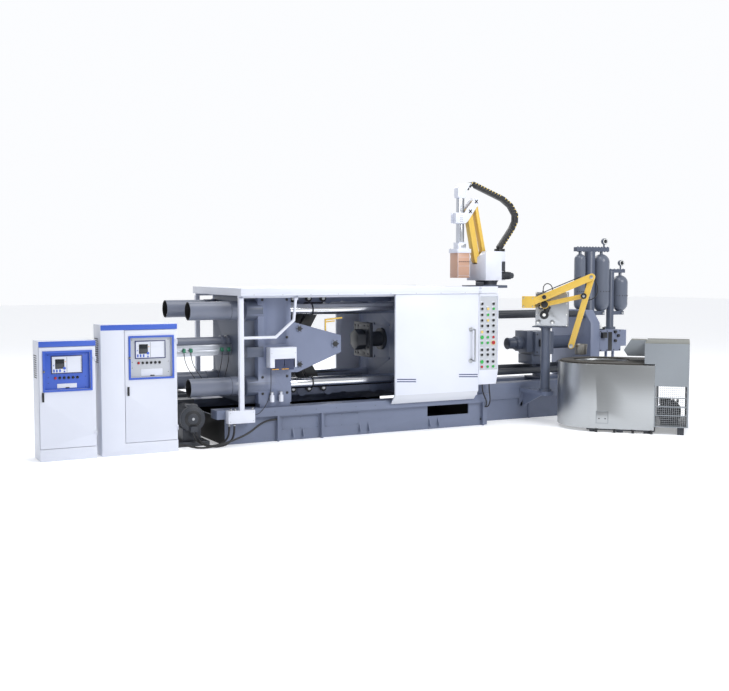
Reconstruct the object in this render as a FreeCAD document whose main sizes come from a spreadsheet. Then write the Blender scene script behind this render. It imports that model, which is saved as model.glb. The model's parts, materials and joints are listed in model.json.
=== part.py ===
"""Cold-chamber die casting machine with its sprayer, ladler, holding furnace and control cabinets.

Frame: millimetres, +X from the closing end to the injection end, +Y to the rear, +Z up.
Origin: the centre of the main bed's underside, on the floor.
"""
import FreeCAD, Part
import math
import os
import Sketcher
from FreeCAD import Placement, Rotation, Vector

DOC = FreeCAD.newDocument("die_casting_machine")
SHEET = DOC.addObject("Spreadsheet::Sheet", "Sizes")

# ---------------------------------------------------------------- driving sizes

SIZES = {
    # fits
    "touch_gap": 0.3,            # between round pieces that seat on each other
    "run_gap": 6,                # between pieces that move past each other
    # main bed
    "bed_length": 4100,
    "bed_width": 1600,
    "bed_top": 460,
    "flange_thick": 115,
    "flange_wide": 240,
    "flange_over": 105,
    "web_thick": 20,
    "web_set": 70,
    "rib_thick": 25,
    # injection bed
    "shot_bed_length": 2720,
    "shot_bed_width": 900,
    "shot_bed_top": 560,
    # platens and tie bars
    "platen_width": 1440,
    "platen_foot": 50,
    "platen_top": 1970,
    "end_platen_thick": 470,
    "end_step_thick": 160,
    "end_step_width": 1200,
    "moving_platen_thick": 400,
    "fixed_platen_thick": 450,
    "toggle_span": 1760,         # end platen's face to the moving platen's face
    "bar_pitch": 1000,
    "bar_low": 739,
    "bar_radius": 75,
    "sleeve_radius": 120,
    "sleeve_wall": 12,
    "sleeve_length": 725,
    # canopy, doors and panel
    "canopy_low": 1939,
    "canopy_high": 2038,
    "canopy_left": -1877,
    "fascia_out": 970,           # the fascia's face from the machine's middle
    "sheet_thick": 12,
    "door_left": 384,
    "door_width": 1364,
    "door_low": 540,
    "door_thick": 32,
    "door_out": 950,
    "panel_width": 332,
    # injection unit
    "shot_bar_radius": 50,
    "shot_bar_out": 300,
    "shot_high": 1127,
    "shot_plate_at": 4150,
    "shot_plate_thick": 180,
    # sprayer
    "spray_depth": -450,         # the sprayer's middle plane
    "spray_turn_at": 2215,       # the turntable's axis
    "spray_head_reach": 475,     # the column's axis, left of the turntable's
    # ladler and furnace, built square and then turned about the origin
    "turn": -44,
    "turn_back": 4100,           # the turning point, left of the main bed's right end
    "ladle_depth": 2550,
    # cabinets
    "cabinet_depth": 360,
    "large_width": 954,
    "large_high": 1605,
    "small_width": 669,
    "small_high": 1429,
    "cabinet_wall": 12,
    "cabinet_gap": 67,
}


class Size(float):
    """A number that remembers the sheet expression it comes from."""

    def __new__(cls, value, text):
        size = super().__new__(cls, value)
        size.text = text
        return size

    def __add__(self, other):
        return Size(float(self) + float(other), f"({self.text} + {words(other)})")

    def __radd__(self, other):
        return Size(float(other) + float(self), f"({words(other)} + {self.text})")

    def __sub__(self, other):
        return Size(float(self) - float(other), f"({self.text} - {words(other)})")

    def __rsub__(self, other):
        return Size(float(other) - float(self), f"({words(other)} - {self.text})")

    def __mul__(self, other):
        return Size(float(self) * float(other), f"({self.text} * {words(other)})")

    def __rmul__(self, other):
        return self * other

    def __truediv__(self, other):
        return Size(float(self) / float(other), f"({self.text} / {words(other)})")

    def __neg__(self):
        return Size(-float(self), f"(0 - {self.text})")


def words(value):
    """The expression of a size, or a plain number as text."""
    return getattr(value, "text", repr(round(float(value), 6)))


def fill_sheet():
    """Write the driving sizes into the sheet and return them as bound sizes."""
    sizes = {}
    for row, (name, value) in enumerate(SIZES.items(), start=1):
        SHEET.set(f"A{row}", name)
        SHEET.set(f"B{row}", str(value))
        SHEET.setAlias(f"B{row}", name)
        sizes[name] = Size(value, f"Sizes.{name}")
    DOC.recompute()
    return sizes


S = fill_sheet()


def bind(thing, **values):
    """Bind properties to expressions; a double underscore stands for a dot."""
    for name, value in values.items():
        thing.setExpression(name.replace("__", "."), words(value))


def put(thing, x=0, y=0, z=0):
    """Bind the object's place."""
    bind(thing, Placement__Base__x=x, Placement__Base__y=y, Placement__Base__z=z)
    return thing


# ---------------------------------------------------------------- shapes

def box(x, y, z):
    """A block between two values on each axis."""
    block = DOC.addObject("Part::Box", "Block")
    bind(block, Length=x[1] - x[0], Width=y[1] - y[0], Height=z[1] - z[0])
    return put(block, x[0], y[0], z[0])


TO_X = Rotation(Vector(0, 1, 0), 90)
TO_Y = Rotation(Vector(1, 0, 0), -90)
TO_Z = Rotation()


def rod(way, start, radius, length, small=None):
    """A cylinder, or a cone where small is its far radius, from start along +X, +Y or +Z."""
    kind = "Part::Cylinder" if small is None else "Part::Cone"
    piece = DOC.addObject(kind, "Rod")
    piece.Placement = Placement(Vector(), {"x": TO_X, "y": TO_Y, "z": TO_Z}[way])
    bind(piece, Height=length)
    if small is None:
        bind(piece, Radius=radius)
    else:
        bind(piece, Radius1=radius, Radius2=small)
    return put(piece, *start)


def ball(at, radius):
    """A sphere."""
    piece = DOC.addObject("Part::Sphere", "Ball")
    bind(piece, Radius=radius)
    return put(piece, *at)


def plate(plane, outline, low, high):
    """An outline in XY, XZ or YZ, filled between two values on the third axis."""
    sketch = DOC.addObject("Sketcher::SketchObject", "Outline")
    count = len(outline)
    points = [Vector(float(u), float(v), 0) for u, v in outline]
    for i in range(count):
        sketch.addGeometry(Part.LineSegment(points[i], points[(i + 1) % count]))
    for i in range(count):
        sketch.addConstraint(Sketcher.Constraint("Coincident", i, 2, (i + 1) % count, 1))
    for i, (u, v) in enumerate(outline):
        for kind, value in (("DistanceX", u), ("DistanceY", v)):
            place = sketch.addConstraint(Sketcher.Constraint(kind, -1, 1, i, 1, float(value)))
            if hasattr(value, "text"):
                sketch.setExpression(f"Constraints[{place}]", value.text)
    filled = DOC.addObject("Part::Extrusion", "Plate")
    filled.Base = sketch
    filled.DirMode = "Custom"
    filled.Solid = True
    bind(filled, LengthFwd=high - low)
    if plane == "XY":
        filled.Dir = Vector(0, 0, 1)
        put(sketch, z=low)
    elif plane == "XZ":
        filled.Dir = Vector(0, 1, 0)
        sketch.Placement = Placement(Vector(), Rotation(Vector(1, 0, 0), 90))
        put(sketch, y=low)
    else:
        filled.Dir = Vector(1, 0, 0)
        sketch.Placement = Placement(Vector(), Rotation(Vector(1, 1, 1), 120))
        put(sketch, x=low)
    return filled


def fuse(*parts):
    """Several pieces as one."""
    whole = DOC.addObject("Part::MultiFuse", "Whole")
    whole.Shapes = list(parts)
    whole.Refine = True
    return whole


def cut(base, *tools):
    """One piece less others."""
    rest = DOC.addObject("Part::Cut", "Rest")
    rest.Base = base
    rest.Tool = tools[0] if len(tools) == 1 else fuse(*tools)
    rest.Refine = True
    return rest


def apart(*parts):
    """Like pieces that don't touch, kept as separate solids."""
    group = DOC.addObject("Part::Compound", "Group")
    group.Links = list(parts)
    return group


def tube(way, start, radius, wall, length):
    """A hollow cylinder."""
    return cut(rod(way, start, radius, length), rod(way, start, radius - wall, length))


NODES = {}


def node(label, thing, turned=False):
    """Name a finished sub-part; a turned one swings about the turning point to its place."""
    holder = DOC.addObject("Part::Compound", "Part")
    holder.Links = [thing]
    holder.Label = label
    if turned:
        holder.Placement = Placement(Vector(), Rotation(Vector(0, 0, 1), float(S["turn"])))
        bind(holder, Placement__Rotation__Angle=S["turn"])
        put(holder, BED_RIGHT - S["turn_back"])
    NODES[label] = holder
    return holder


# ---------------------------------------------------------------- shared places

BED_LEFT = -S["bed_length"] / 2
BED_RIGHT = S["bed_length"] / 2
BED_OUT = S["bed_width"] / 2
BED_TOP = S["bed_top"]
FLANGE_LOW = BED_TOP - S["flange_thick"]
WEB_OUT = BED_OUT - S["web_set"]
PLATEN_OUT = S["platen_width"] / 2
PLATEN_LOW = BED_TOP + S["platen_foot"]
PLATEN_TOP = S["platen_top"]
FIXED_RIGHT = BED_RIGHT - 20
FIXED_LEFT = FIXED_RIGHT - S["fixed_platen_thick"]
END_LEFT = BED_LEFT + 500
END_RIGHT = END_LEFT + S["end_platen_thick"]
STEP_LEFT = END_LEFT - S["end_step_thick"]
MOVING_LEFT = END_RIGHT + S["toggle_span"]
MOVING_RIGHT = MOVING_LEFT + S["moving_platen_thick"]
BAR_OUT = S["bar_pitch"] / 2
BAR_HIGHS = (S["bar_low"], S["bar_low"] + S["bar_pitch"])
MIDDLE = S["bar_low"] + BAR_OUT


def span(side, near, far):
    """The lower and upper value between two distances from the middle plane, on one side."""
    return (near, far) if side > 0 else (-far, -near)


# ---------------------------------------------------------------- beds

BRACKET_TOP = 480
SOLE_WIDE, SOLE_THICK = 120, 25
LUG_PLACES = (986, 1133, 1992, 2132, 3115, 3257)
WINDOW = (BED_RIGHT - 1020, BED_RIGHT - 326)
RIB_PLACES = (BED_LEFT, BED_LEFT + 742, BED_LEFT + 1385, BED_RIGHT - 110)


def bed_beam(side):
    """One side of the main bed: flange, set-back web, ribs, sole strip and lifting lugs."""
    flange = box((BED_LEFT - S["flange_over"], BED_RIGHT),
                 span(side, BED_OUT - S["flange_wide"], BED_OUT), (FLANGE_LOW, BED_TOP))
    web_in = WEB_OUT - S["web_thick"]
    pieces = [flange, box((BED_LEFT, BED_RIGHT), span(side, web_in, WEB_OUT), (0, FLANGE_LOW))]
    pieces.append(box((BED_LEFT, BED_RIGHT), span(side, WEB_OUT - SOLE_WIDE, WEB_OUT), (0, SOLE_THICK)))
    for place in RIB_PLACES:
        rib = box((place, place + S["rib_thick"]), span(side, WEB_OUT, BED_OUT - 8), (0, FLANGE_LOW))
        pieces.append(rib)
    for place in LUG_PLACES:
        lug = ((side * WEB_OUT, 170), (side * WEB_OUT, 40), (side * (BED_OUT - 12), 40))
        pieces.append(plate("YZ", lug, BED_LEFT + place - 12, BED_LEFT + place + 12))
    window = box(WINDOW, span(side, web_in, WEB_OUT), (184, 330))
    return cut(fuse(*pieces), window)


def beds():
    """The main bed and the injection bed with the ladler's bracket."""
    inner = WEB_OUT - S["web_thick"]
    sole = WEB_OUT - SOLE_WIDE
    pieces = [box((BED_LEFT, BED_RIGHT), (-sole, sole), (0, SOLE_THICK)), bed_beam(-1), bed_beam(1)]
    for place in (BED_LEFT, BED_LEFT + 1385, BED_LEFT + 2740, BED_RIGHT - 25):
        pieces.append(box((place, place + 25), (-inner, inner), (0, FLANGE_LOW)))
    node("main_bed", fuse(*pieces))
    out = S["shot_bed_width"] / 2
    top = S["shot_bed_top"]
    end = BED_RIGHT + S["shot_bed_length"]
    side_beams = []
    for side in (-1, 1):
        side_beams.append(box((BED_RIGHT, end), span(side, out - 250, out), (320, top)))
        side_beams.append(box((BED_RIGHT, end), span(side, out - 50, out - 30), (0, 320)))
        for place in (BED_RIGHT + 30, BED_RIGHT + 957, end - 40):
            side_beams.append(box((place, place + 40), span(side, out - 50, out - 6), (0, 320)))
    for place in (BED_RIGHT, BED_RIGHT + 1480, end - 30):
        side_beams.append(box((place, place + 30), (50 - out, out - 50), (0, top)))
    post_x = BED_RIGHT - S["turn_back"] + 4947      # where the ladler's column comes down
    side_beams.append(box((post_x - 75, post_x + 75), (-1110, -out), (BRACKET_TOP - 60, BRACKET_TOP)))
    gusset = ((-out, 200), (-out, BRACKET_TOP - 60), (-950, BRACKET_TOP - 60))
    side_beams.append(plate("YZ", gusset, post_x - 12, post_x + 12))
    side_beams.append(box((post_x - 75, post_x + 75), (-out - 6, -out), (200, BRACKET_TOP)))
    node("injection_bed", fuse(*side_beams))


# ---------------------------------------------------------------- clamping unit

def bar_holes(left, right, radius):
    """The four bores for the tie bars through a platen."""
    return [rod("x", (left - 1, side * BAR_OUT, high), radius, right - left + 2)
            for side in (-1, 1) for high in BAR_HIGHS]


def feet(left, right):
    """A platen's two feet on the bed."""
    return [box((left + 20, right - 20), span(side, PLATEN_OUT - 180, PLATEN_OUT), (BED_TOP, PLATEN_LOW))
            for side in (-1, 1)]


def end_platen():
    """The end platen: a step that carries the sleeves, the main block and its bulges round the bars."""
    step_out = S["end_step_width"] / 2
    bore = S["bar_radius"] + S["touch_gap"]
    pieces = [box((STEP_LEFT, END_LEFT), (-step_out, step_out), (PLATEN_LOW, PLATEN_TOP)),
              box((END_LEFT, END_RIGHT), (-PLATEN_OUT, PLATEN_OUT), (PLATEN_LOW, PLATEN_TOP)),
              box((STEP_LEFT, END_LEFT + 70), (-PLATEN_OUT - 20, PLATEN_OUT + 20), (1130, 1262))]
    pieces += feet(END_LEFT, END_RIGHT)
    for side in (-1, 1):
        for high in BAR_HIGHS:
            pieces.append(rod("x", (STEP_LEFT, side * (PLATEN_OUT - 110), high), 132, 407))
    scoops = [rod("z", (END_LEFT + 250, side * (PLATEN_OUT + 190), 1290), 250, PLATEN_TOP - 1290 - 40)
              for side in (-1, 1)]
    return cut(fuse(*pieces), *scoops, *bar_holes(STEP_LEFT, END_RIGHT, bore))


def toggle_cheeks():
    """The two side plates that reach from the end platen over the toggle."""
    nose = END_RIGHT + 741
    outline = ((END_RIGHT, 1590), (nose, 1387), (nose, 1155), (END_RIGHT + 99, 908), (END_RIGHT, 908))
    return [plate("XZ", outline, *span(side, PLATEN_OUT - 90, PLATEN_OUT)) for side in (-1, 1)]


def moving_platen():
    """The moving platen with its die-bolt holes."""
    body = fuse(box((MOVING_LEFT, MOVING_RIGHT), (-PLATEN_OUT, PLATEN_OUT), (PLATEN_LOW, PLATEN_TOP)),
                *feet(MOVING_LEFT, MOVING_RIGHT))
    holes = [rod("x", (MOVING_LEFT - 1, across * 230, MIDDLE + up * 243), 20, 90)
             for across in (-2, -1, 1, 2) for up in (-1, 1)]
    return cut(body, *holes, *bar_holes(MOVING_LEFT, MOVING_RIGHT, S["bar_radius"] + S["touch_gap"]))


def fixed_platen():
    """The fixed platen with the bore for the shot sleeve."""
    body = fuse(box((FIXED_LEFT, FIXED_RIGHT), (-PLATEN_OUT, PLATEN_OUT), (PLATEN_LOW, PLATEN_TOP)),
                *feet(FIXED_LEFT, FIXED_RIGHT))
    bore = rod("x", (FIXED_LEFT - 1, 0, S["shot_high"]), 90, S["fixed_platen_thick"] + 2)
    return cut(body, bore, *bar_holes(FIXED_LEFT, FIXED_RIGHT, S["bar_radius"] + S["touch_gap"]))


def tie_bars():
    """Four bars from inside the sleeves, each with a stop ring and its nuts."""
    bars = []
    for side in (-1, 1):
        for high in BAR_HIGHS:
            bar = rod("x", (STEP_LEFT - 120, side * BAR_OUT, high), S["bar_radius"],
                      FIXED_RIGHT + 160 - STEP_LEFT + 120)
            ring = rod("x", (END_RIGHT + 378, side * BAR_OUT, high), S["bar_radius"] + 9, 22)
            nut = rod("x", (FIXED_RIGHT, side * BAR_OUT, high), S["bar_radius"] + 48, 120)
            lock = rod("x", (STEP_LEFT - 90, side * BAR_OUT, high), S["bar_radius"] + 26, 90)
            bars.append(fuse(bar, ring, nut, lock))
    return apart(*bars)


def sleeves():
    """Hollow tubes round the bars' outer ends, each with a thicker foot on the end platen."""
    tubes = []
    for side in (-1, 1):
        for high in BAR_HIGHS:
            start = STEP_LEFT - S["sleeve_length"]
            plain = rod("x", (start, side * BAR_OUT, high), S["sleeve_radius"], S["sleeve_length"])
            thick = rod("x", (STEP_LEFT - 160, side * BAR_OUT, high), S["sleeve_radius"] + 5, 160)
            inside = S["sleeve_radius"] - S["sleeve_wall"]
            hole = rod("x", (start, side * BAR_OUT, high), inside, S["sleeve_length"])
            tubes.append(cut(fuse(plain, thick), hole))
    return apart(*tubes)


LINK_HIGHS = (MIDDLE - 640, MIDDLE + 640)
LINK_JOINT = END_RIGHT + 987


def toggle_long_links():
    """The long straight links, upper and lower, each with a knuckle joint and pin bosses."""
    links = []
    for high in LINK_HIGHS:
        for side in (-1, 1):
            out = span(side, 190, 290)
            bands = [box((END_RIGHT, LINK_JOINT - 40), out, (high - 52, high + 52)),
                     box((LINK_JOINT - 40, LINK_JOINT + 40), out, (high - 40, high + 40)),
                     box((LINK_JOINT + 40, MOVING_LEFT), out, (high - 52, high + 52))]
            for place in (END_RIGHT + 340, END_RIGHT + 750, MOVING_LEFT - 290):
                bands.append(rod("y", (place, span(side, 178, 302)[0], high), 72, 124))
            links.append(fuse(*bands))
    return apart(*links)


def toggle_short_links():
    """The crosshead on its guide rod, with the fans of short link plates."""
    head_left = END_RIGHT + 90
    head_right = head_left + 180
    head = fuse(box((head_left, head_right), (-300, 300), (MIDDLE - 150, MIDDLE + 150)),
                rod("x", (END_RIGHT, 0, MIDDLE), 55, 90))
    plates = [head]
    for up in (-1, 1):
        for across in (-270, -210, 150, 210, 270):
            low = MIDDLE + up * 60
            high = MIDDLE + up * 588
            outline = ((head_right, low), (head_right + 110, low), (head_right + 410, high),
                       (head_right + 230, high), (head_right, MIDDLE + up * 150))
            plates.append(plate("XZ", outline, across - 20, across + 20))
    return fuse(*plates)


def closing_end():
    """The closing cylinder, its sensor rail and the four sensor connectors."""
    length = 790
    high = 1268
    cylinder = fuse(rod("x", (STEP_LEFT - length, 0, high), 100, length),
                    rod("x", (STEP_LEFT - 110, 0, high), 120, 40),
                    rod("x", (STEP_LEFT - 30, 0, high), 120, 30))
    node("closing_cylinder", cylinder)
    rail = cut(box((STEP_LEFT - length, STEP_LEFT), (-150, -122), (1125, 1270)),
               box((STEP_LEFT - length, STEP_LEFT), (-150, -138), (1196, 1210)))
    arm = box((STEP_LEFT - length, STEP_LEFT - length + 40), (-122, -100 - S["touch_gap"]), (1240, 1270))
    tray = box((STEP_LEFT - 590, STEP_LEFT), (-330, -250), (780, 800))
    node("sensor_rail", apart(fuse(rail, arm), tray))
    node("sensor_connectors", apart(*[box((x - 18, x + 18), (-186, -150), (1178, 1228))
                                      for x in SENSOR_PLACES]))


SENSOR_PLACES = (STEP_LEFT - 670, STEP_LEFT - 575, STEP_LEFT - 140, STEP_LEFT - 45)


def ejector():
    """The ejector plate with its hole grid, the hexagonal head in front and the cylinder behind."""
    left = MOVING_LEFT - 330
    holes = [rod("x", (left - 1, across * 100, MIDDLE + 30 + up * 100), 14, 60)
             for across in (-2, -1, 1, 2) for up in (-2, -1, 1, 2)]
    sheet = box((left, left + 50), (-250, 250), (MIDDLE - 220, MIDDLE + 280))
    middle = MIDDLE + 30
    turns = [math.radians(60 * i + 30) for i in range(6)]
    hexagon = [(150 * math.cos(turn), middle + 150 * math.sin(turn)) for turn in turns]
    return fuse(cut(sheet, *holes), plate("YZ", hexagon, left - 120, left),
                rod("x", (left + 50, 0, middle), 110, MOVING_LEFT - left - 50),
                rod("x", (MOVING_LEFT - 40, 0, middle), 160, 40))


# ---------------------------------------------------------------- canopy and doors

FASCIA_IN = S["fascia_out"] - S["sheet_thick"]
RAIL_OUT = S["door_out"] - S["door_thick"] - 12
DOOR_RIGHT = S["door_left"] + S["door_width"]
PANEL_LEFT = DOOR_RIGHT + S["run_gap"] + 2
PANEL_RIGHT = PANEL_LEFT + S["panel_width"]
CANOPY_RIGHT = PANEL_RIGHT - 27
HANGER_OUT = S["door_out"] - S["door_thick"]
RAIL_TOP = S["canopy_low"] + 2
POST_IN = PLATEN_OUT + 36


def canopy_side(side):
    """One long side of the canopy: fascia sheet, inner beam and the rail for the door."""
    top = S["canopy_high"] - S["sheet_thick"]
    left = S["canopy_left"]
    right = CANOPY_RIGHT if side < 0 else DOOR_RIGHT + 60
    return [box((left, right), span(side, FASCIA_IN, S["fascia_out"]), (S["canopy_low"], S["canopy_high"])),
            box((left, DOOR_RIGHT), span(side, RAIL_OUT - 70, RAIL_OUT - 34), (S["canopy_low"] - 30, top)),
            box((-1050, DOOR_RIGHT), span(side, RAIL_OUT - 34, RAIL_OUT - 4),
                (RAIL_TOP - 30, RAIL_TOP))]


def canopy():
    """The canopy's frame, its roof and the posts it stands on."""
    left = S["canopy_left"]
    top = S["canopy_high"] - S["sheet_thick"]
    ends = [box((left, left + 30), (-FASCIA_IN, FASCIA_IN), (S["canopy_low"], top))]
    for side in (-1, 1):
        ends.append(box((DOOR_RIGHT - 30, PANEL_LEFT + 70), span(side, POST_IN, FASCIA_IN),
                        (RAIL_TOP + 60, top)))
    roof = box((left, FIXED_LEFT - 10), (-FASCIA_IN, FASCIA_IN), (top, S["canopy_high"]))
    node("canopy", fuse(*canopy_side(-1), *canopy_side(1), *ends, roof))
    posts = []
    for side in (-1, 1):
        out = span(side, BED_OUT + 45, BED_OUT + 105)
        posts.append(box((left, left + 60), out, (JUNCTION_TOP, S["canopy_low"] - 30)))
        posts.append(box((PANEL_LEFT + 20, PANEL_LEFT + 70), span(side, POST_IN, POST_IN + 46),
                         (BED_TOP, RAIL_TOP + 60)))
    node("canopy_posts", apart(fuse(posts[0], guard_bar()), *posts[1:]))


def guard_bar():
    """The bent tube from the front post up to the canopy."""
    y = -(BED_OUT + 75)
    radius = 20
    left = S["canopy_left"] + 60
    stops = ((left, 1395), (-1364, 1395), (-1107, 1613), (-1078, S["canopy_low"] - 50))
    pieces = []
    for (x0, z0), (x1, z1) in zip(stops, stops[1:]):
        run = Vector(float(x1) - float(x0), 0, float(z1) - float(z0))
        piece = DOC.addObject("Part::Cylinder", "Run")
        piece.Placement = Placement(Vector(), Rotation(Vector(0, 0, 1), run))
        bind(piece, Radius=radius, Height=run.Length)
        pieces.append(put(piece, x0, y, z0))
    pieces += [ball((x, y, z), radius) for x, z in stops[1:3]]
    pieces.append(box((-1100, -1052), (y - 22, y + 22), (S["canopy_low"] - 60, S["canopy_low"] - 30)))
    return fuse(*pieces)


def safety_door(side):
    """A sliding door: sheet with a stiffened edge, lower lip turned in, hangers and rollers."""
    out = S["door_out"]
    inner = out - S["door_thick"]
    low = S["door_low"]
    top = RAIL_TOP + 5
    span_x = (S["door_left"], DOOR_RIGHT)
    sheet = box(span_x, span(side, inner, out), (low, top))
    lip = ((side * out, low), (side * inner, low),
           (side * (BED_OUT + 15), 410), (side * (BED_OUT + 35), 410))
    pieces = [sheet, plate("YZ", lip, *span_x)]
    for place in (S["door_left"] + 120, DOOR_RIGHT - 160):
        pieces.append(box((place, place + 70), span(side, inner - 8, inner), (1800, RAIL_TOP + 50)))
        roller = rod("y", (place + 35, span(side, RAIL_OUT - 28, inner - 8)[0],
                           RAIL_TOP + 22 + S["touch_gap"]), 22, inner - 8 - RAIL_OUT + 28)
        pieces.append(roller)
    return fuse(*pieces)


def door_handle():
    """The front door's upright handle on two round feet."""
    x = DOOR_RIGHT - 135
    out = S["door_out"]
    pieces = []
    for z in (976, 1426):
        pieces.append(rod("y", (x, -out - 10, z), 34, 10))
        pieces.append(rod("y", (x + 30, -out - 70, z), 13, 60))
        pieces.append(ball((x + 30, -out - 70, z), 13))
        pieces.append(rod("x", (x, -out - 12, z), 11, 30))
    pieces.append(rod("z", (x + 30, -out - 70, 976), 13, 450))
    return fuse(*pieces)


def control_panel():
    """The operator's panel: recessed face, sloping foot and two brackets to the fixed platen."""
    out = S["door_out"]
    top = S["canopy_low"] - 5
    outline = ((-out, top), (-out, 823), (-out + 50, 620), (-out + 130, 620), (-out + 130, top))
    body = plate("YZ", outline, PANEL_LEFT, PANEL_RIGHT)
    recess = box((PANEL_LEFT + 14, PANEL_RIGHT - 14), (-out, -out + 12), (833, 1895))
    brackets = [box((PANEL_LEFT + 90, FIXED_RIGHT - 40), (-out + 130, -PLATEN_OUT), (z, z + 90))
                for z in (900, 1640)]
    return fuse(cut(body, recess), *brackets)


# ---------------------------------------------------------------- small units on the machine

JUNCTION_TOP = BED_TOP + 1


def small_units():
    """The junction boxes on the bed and the lubrication unit with its two filters."""
    left = S["canopy_left"] - 159
    box_out = BED_OUT + 110
    boxes = [box((left, left + 363), span(side, BED_OUT, box_out), (295, JUNCTION_TOP)) for side in (-1, 1)]
    glands = [rod("z", (x, -box_out + 40, 265), 17, 30) for x in GLAND_PLACES]
    tops = [rod("z", (left + 40 + 60 * i, -box_out + 30, JUNCTION_TOP), 13, 28) for i in (0, 1, 5)]
    node("junction_box", apart(fuse(boxes[0], *glands, *tops), boxes[1]))
    unit_left = END_LEFT + 115
    out = PLATEN_OUT
    cover = cut(box((unit_left, unit_left + 375), (-out - 140, -out), (990, 1255)),
                box((unit_left + 62, unit_left + 350), (-out - 140, -out - 12), (990, 1105)))
    jars = [box((x, x + 132), (-out - 130, -out - 12), (958, 1105))
            for x in (unit_left + 68, unit_left + 208)]
    filters = [fuse(rod("z", (x, -out - 42, 530), 30, 90), rod("z", (x, -out - 42, 620), 17, 40),
                    box((x - 16, x + 16), (-out - 42, -out), (640, 662)))
               for x in (unit_left + 60, unit_left + 190)]
    node("lubrication_unit", apart(fuse(cover, *jars), *filters))


GLAND_PLACES = (S["canopy_left"] - 138, S["canopy_left"] - 68)


def pump_unit():
    """The pump motor on its block and the oil tank behind it."""
    x = BED_LEFT - 377
    motor = fuse(rod("y", (x, -650, 357), 165, 400), rod("y", (x, -250, 357), 190, 30),
                 box((x - 120, x + 120), (-600, -320), (60, 230)),
                 box((x - 70, x + 70), (-640, -520), (495, 540)))
    terminal = box((x - 45, x + 45), (-700, -640), (190, 262))
    node("pump_motor", fuse(motor, terminal))
    tank = cut(box((x - 220, x + 220), (80, 760), (60, 600)), box((x - 212, x + 212), (88, 752), (68, 592)))
    node("oil_tank", fuse(tank, box((x - 160, x + 160), (-220, 80), (60, 560)),
                          box((x - 220, x + 220), (-660, 780), (0, 60))))


# ---------------------------------------------------------------- injection unit

def injection_unit():
    """The injection unit's bars, end plate, cylinder with its valve block, and hydraulic block."""
    plate_left = S["shot_plate_at"]
    plate_right = plate_left + S["shot_plate_thick"]
    reach = plate_left - FIXED_RIGHT
    bars = [rod("x", (FIXED_RIGHT, side * S["shot_bar_out"], high), S["shot_bar_radius"], reach)
            for side in (-1, 1) for high in (720, 1585)]
    node("injection_bars", apart(*bars))
    top = S["shot_bed_top"]
    outline = ((-500, top), (500, top), (500, 1440), (330, 1640), (-330, 1640), (-500, 1440))
    node("injection_plate", plate("YZ", outline, plate_left, plate_right))
    high = S["shot_high"]
    coupling = fuse(rod("x", (2905, 0, high), 85, 150), rod("x", (3055, 0, high), 108, 60),
                    rod("x", (3115, 0, high), 90, 55))
    valve = fuse(box((3170, 3285), (-160, 160), (990, 1320)), box((3285, 3636), (-225, 225), (950, 1310)),
                 box((3250, 3560), (-180, 180), (800, 950)))
    post = fuse(box((3440, 3540), (-60, 60), (top + 30, 800)),
                box((3400, 3580), (-220, 220), (top, top + 30)))
    body = rod("x", (3636, 0, high), 105, plate_left - 3636)
    node("injection_cylinder", fuse(coupling, valve, post, body))
    front = box((plate_right, 4760), (-500, -60), (985, 1320))
    rear = box((plate_right, 5360), (60, 340), (1010, 1280))
    link = box((plate_right, 4760), (-60, 60), (1010, 1280))
    pipes = [rod("z", (x, -380, top), 22, 985 - top) for x in (4400, 4560, 4700)]
    node("hydraulic_block", fuse(front, rear, link, *pipes))


BOTTLE_DEPTH = 200
BOTTLES = ((4477, 92, 1620, 2540), (4920, 137, 1590, 2540), (5325, 130, 1585, 2190))


def bottle(x, radius, low, high):
    """An accumulator bottle: straight wall with a domed foot and shoulder and a short neck."""
    y = BOTTLE_DEPTH
    return fuse(rod("z", (x, y, low + radius), radius, high - low - 2 * radius),
                ball((x, y, low + radius), radius), ball((x, y, high - radius), radius),
                rod("z", (x, y, high - 8), 26, 48))


def accumulators():
    """Three bottles, and the columns with the arms and seats that hold them."""
    node("accumulator_bottles", apart(*[bottle(*sizes) for sizes in BOTTLES]))
    y = BOTTLE_DEPTH
    gap = S["touch_gap"]
    pieces = [rod("z", (4680, y, 1280), 88, 1300), rod("z", (4680, y, 1280), 120, 60),
              rod("z", (5120, y, 1280), 62, 986), rod("z", (5120, y, 1280), 95, 50),
              box((4380, 5050), (y - 45, y + 45), (2580, 2650)), rod("z", (4973, y, 2650), 14, 60),
              box((5070, 5400), (y - 40, y + 40), (2230, 2290)), rod("z", (5332, y, 2290), 13, 65),
              rod("y", (4973, y - 30, 2748), 50, 45), rod("y", (5332, y - 30, 2393), 48, 45),
              box((4440, 4960), (y - 60, y + 60), (1530, 1600)),
              box((5100, 5370), (y - 60, y + 60), (1530, 1590))]
    pieces += [rod("z", (x, y, 1540), 60, 90) for x, _, _, _ in BOTTLES]
    seats = [ball((x, y, low + radius), radius + gap) for x, radius, low, _ in BOTTLES]
    necks = [rod("z", (x, y, high), 26 + gap, 45) for x, _, _, high in BOTTLES]
    node("accumulator_cylinders", cut(fuse(*pieces), *seats, *necks))


# ---------------------------------------------------------------- sprayer

BASE_TOP = 2048
HOUSING_LOW, HOUSING_HIGH = 2120, 2550
HEAD_AT = S["spray_turn_at"] - S["spray_head_reach"]
ARM_NEAR, ARM_FAR = S["spray_depth"] - 60, S["spray_depth"] + 40
COLUMN_HALF = 44


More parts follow.
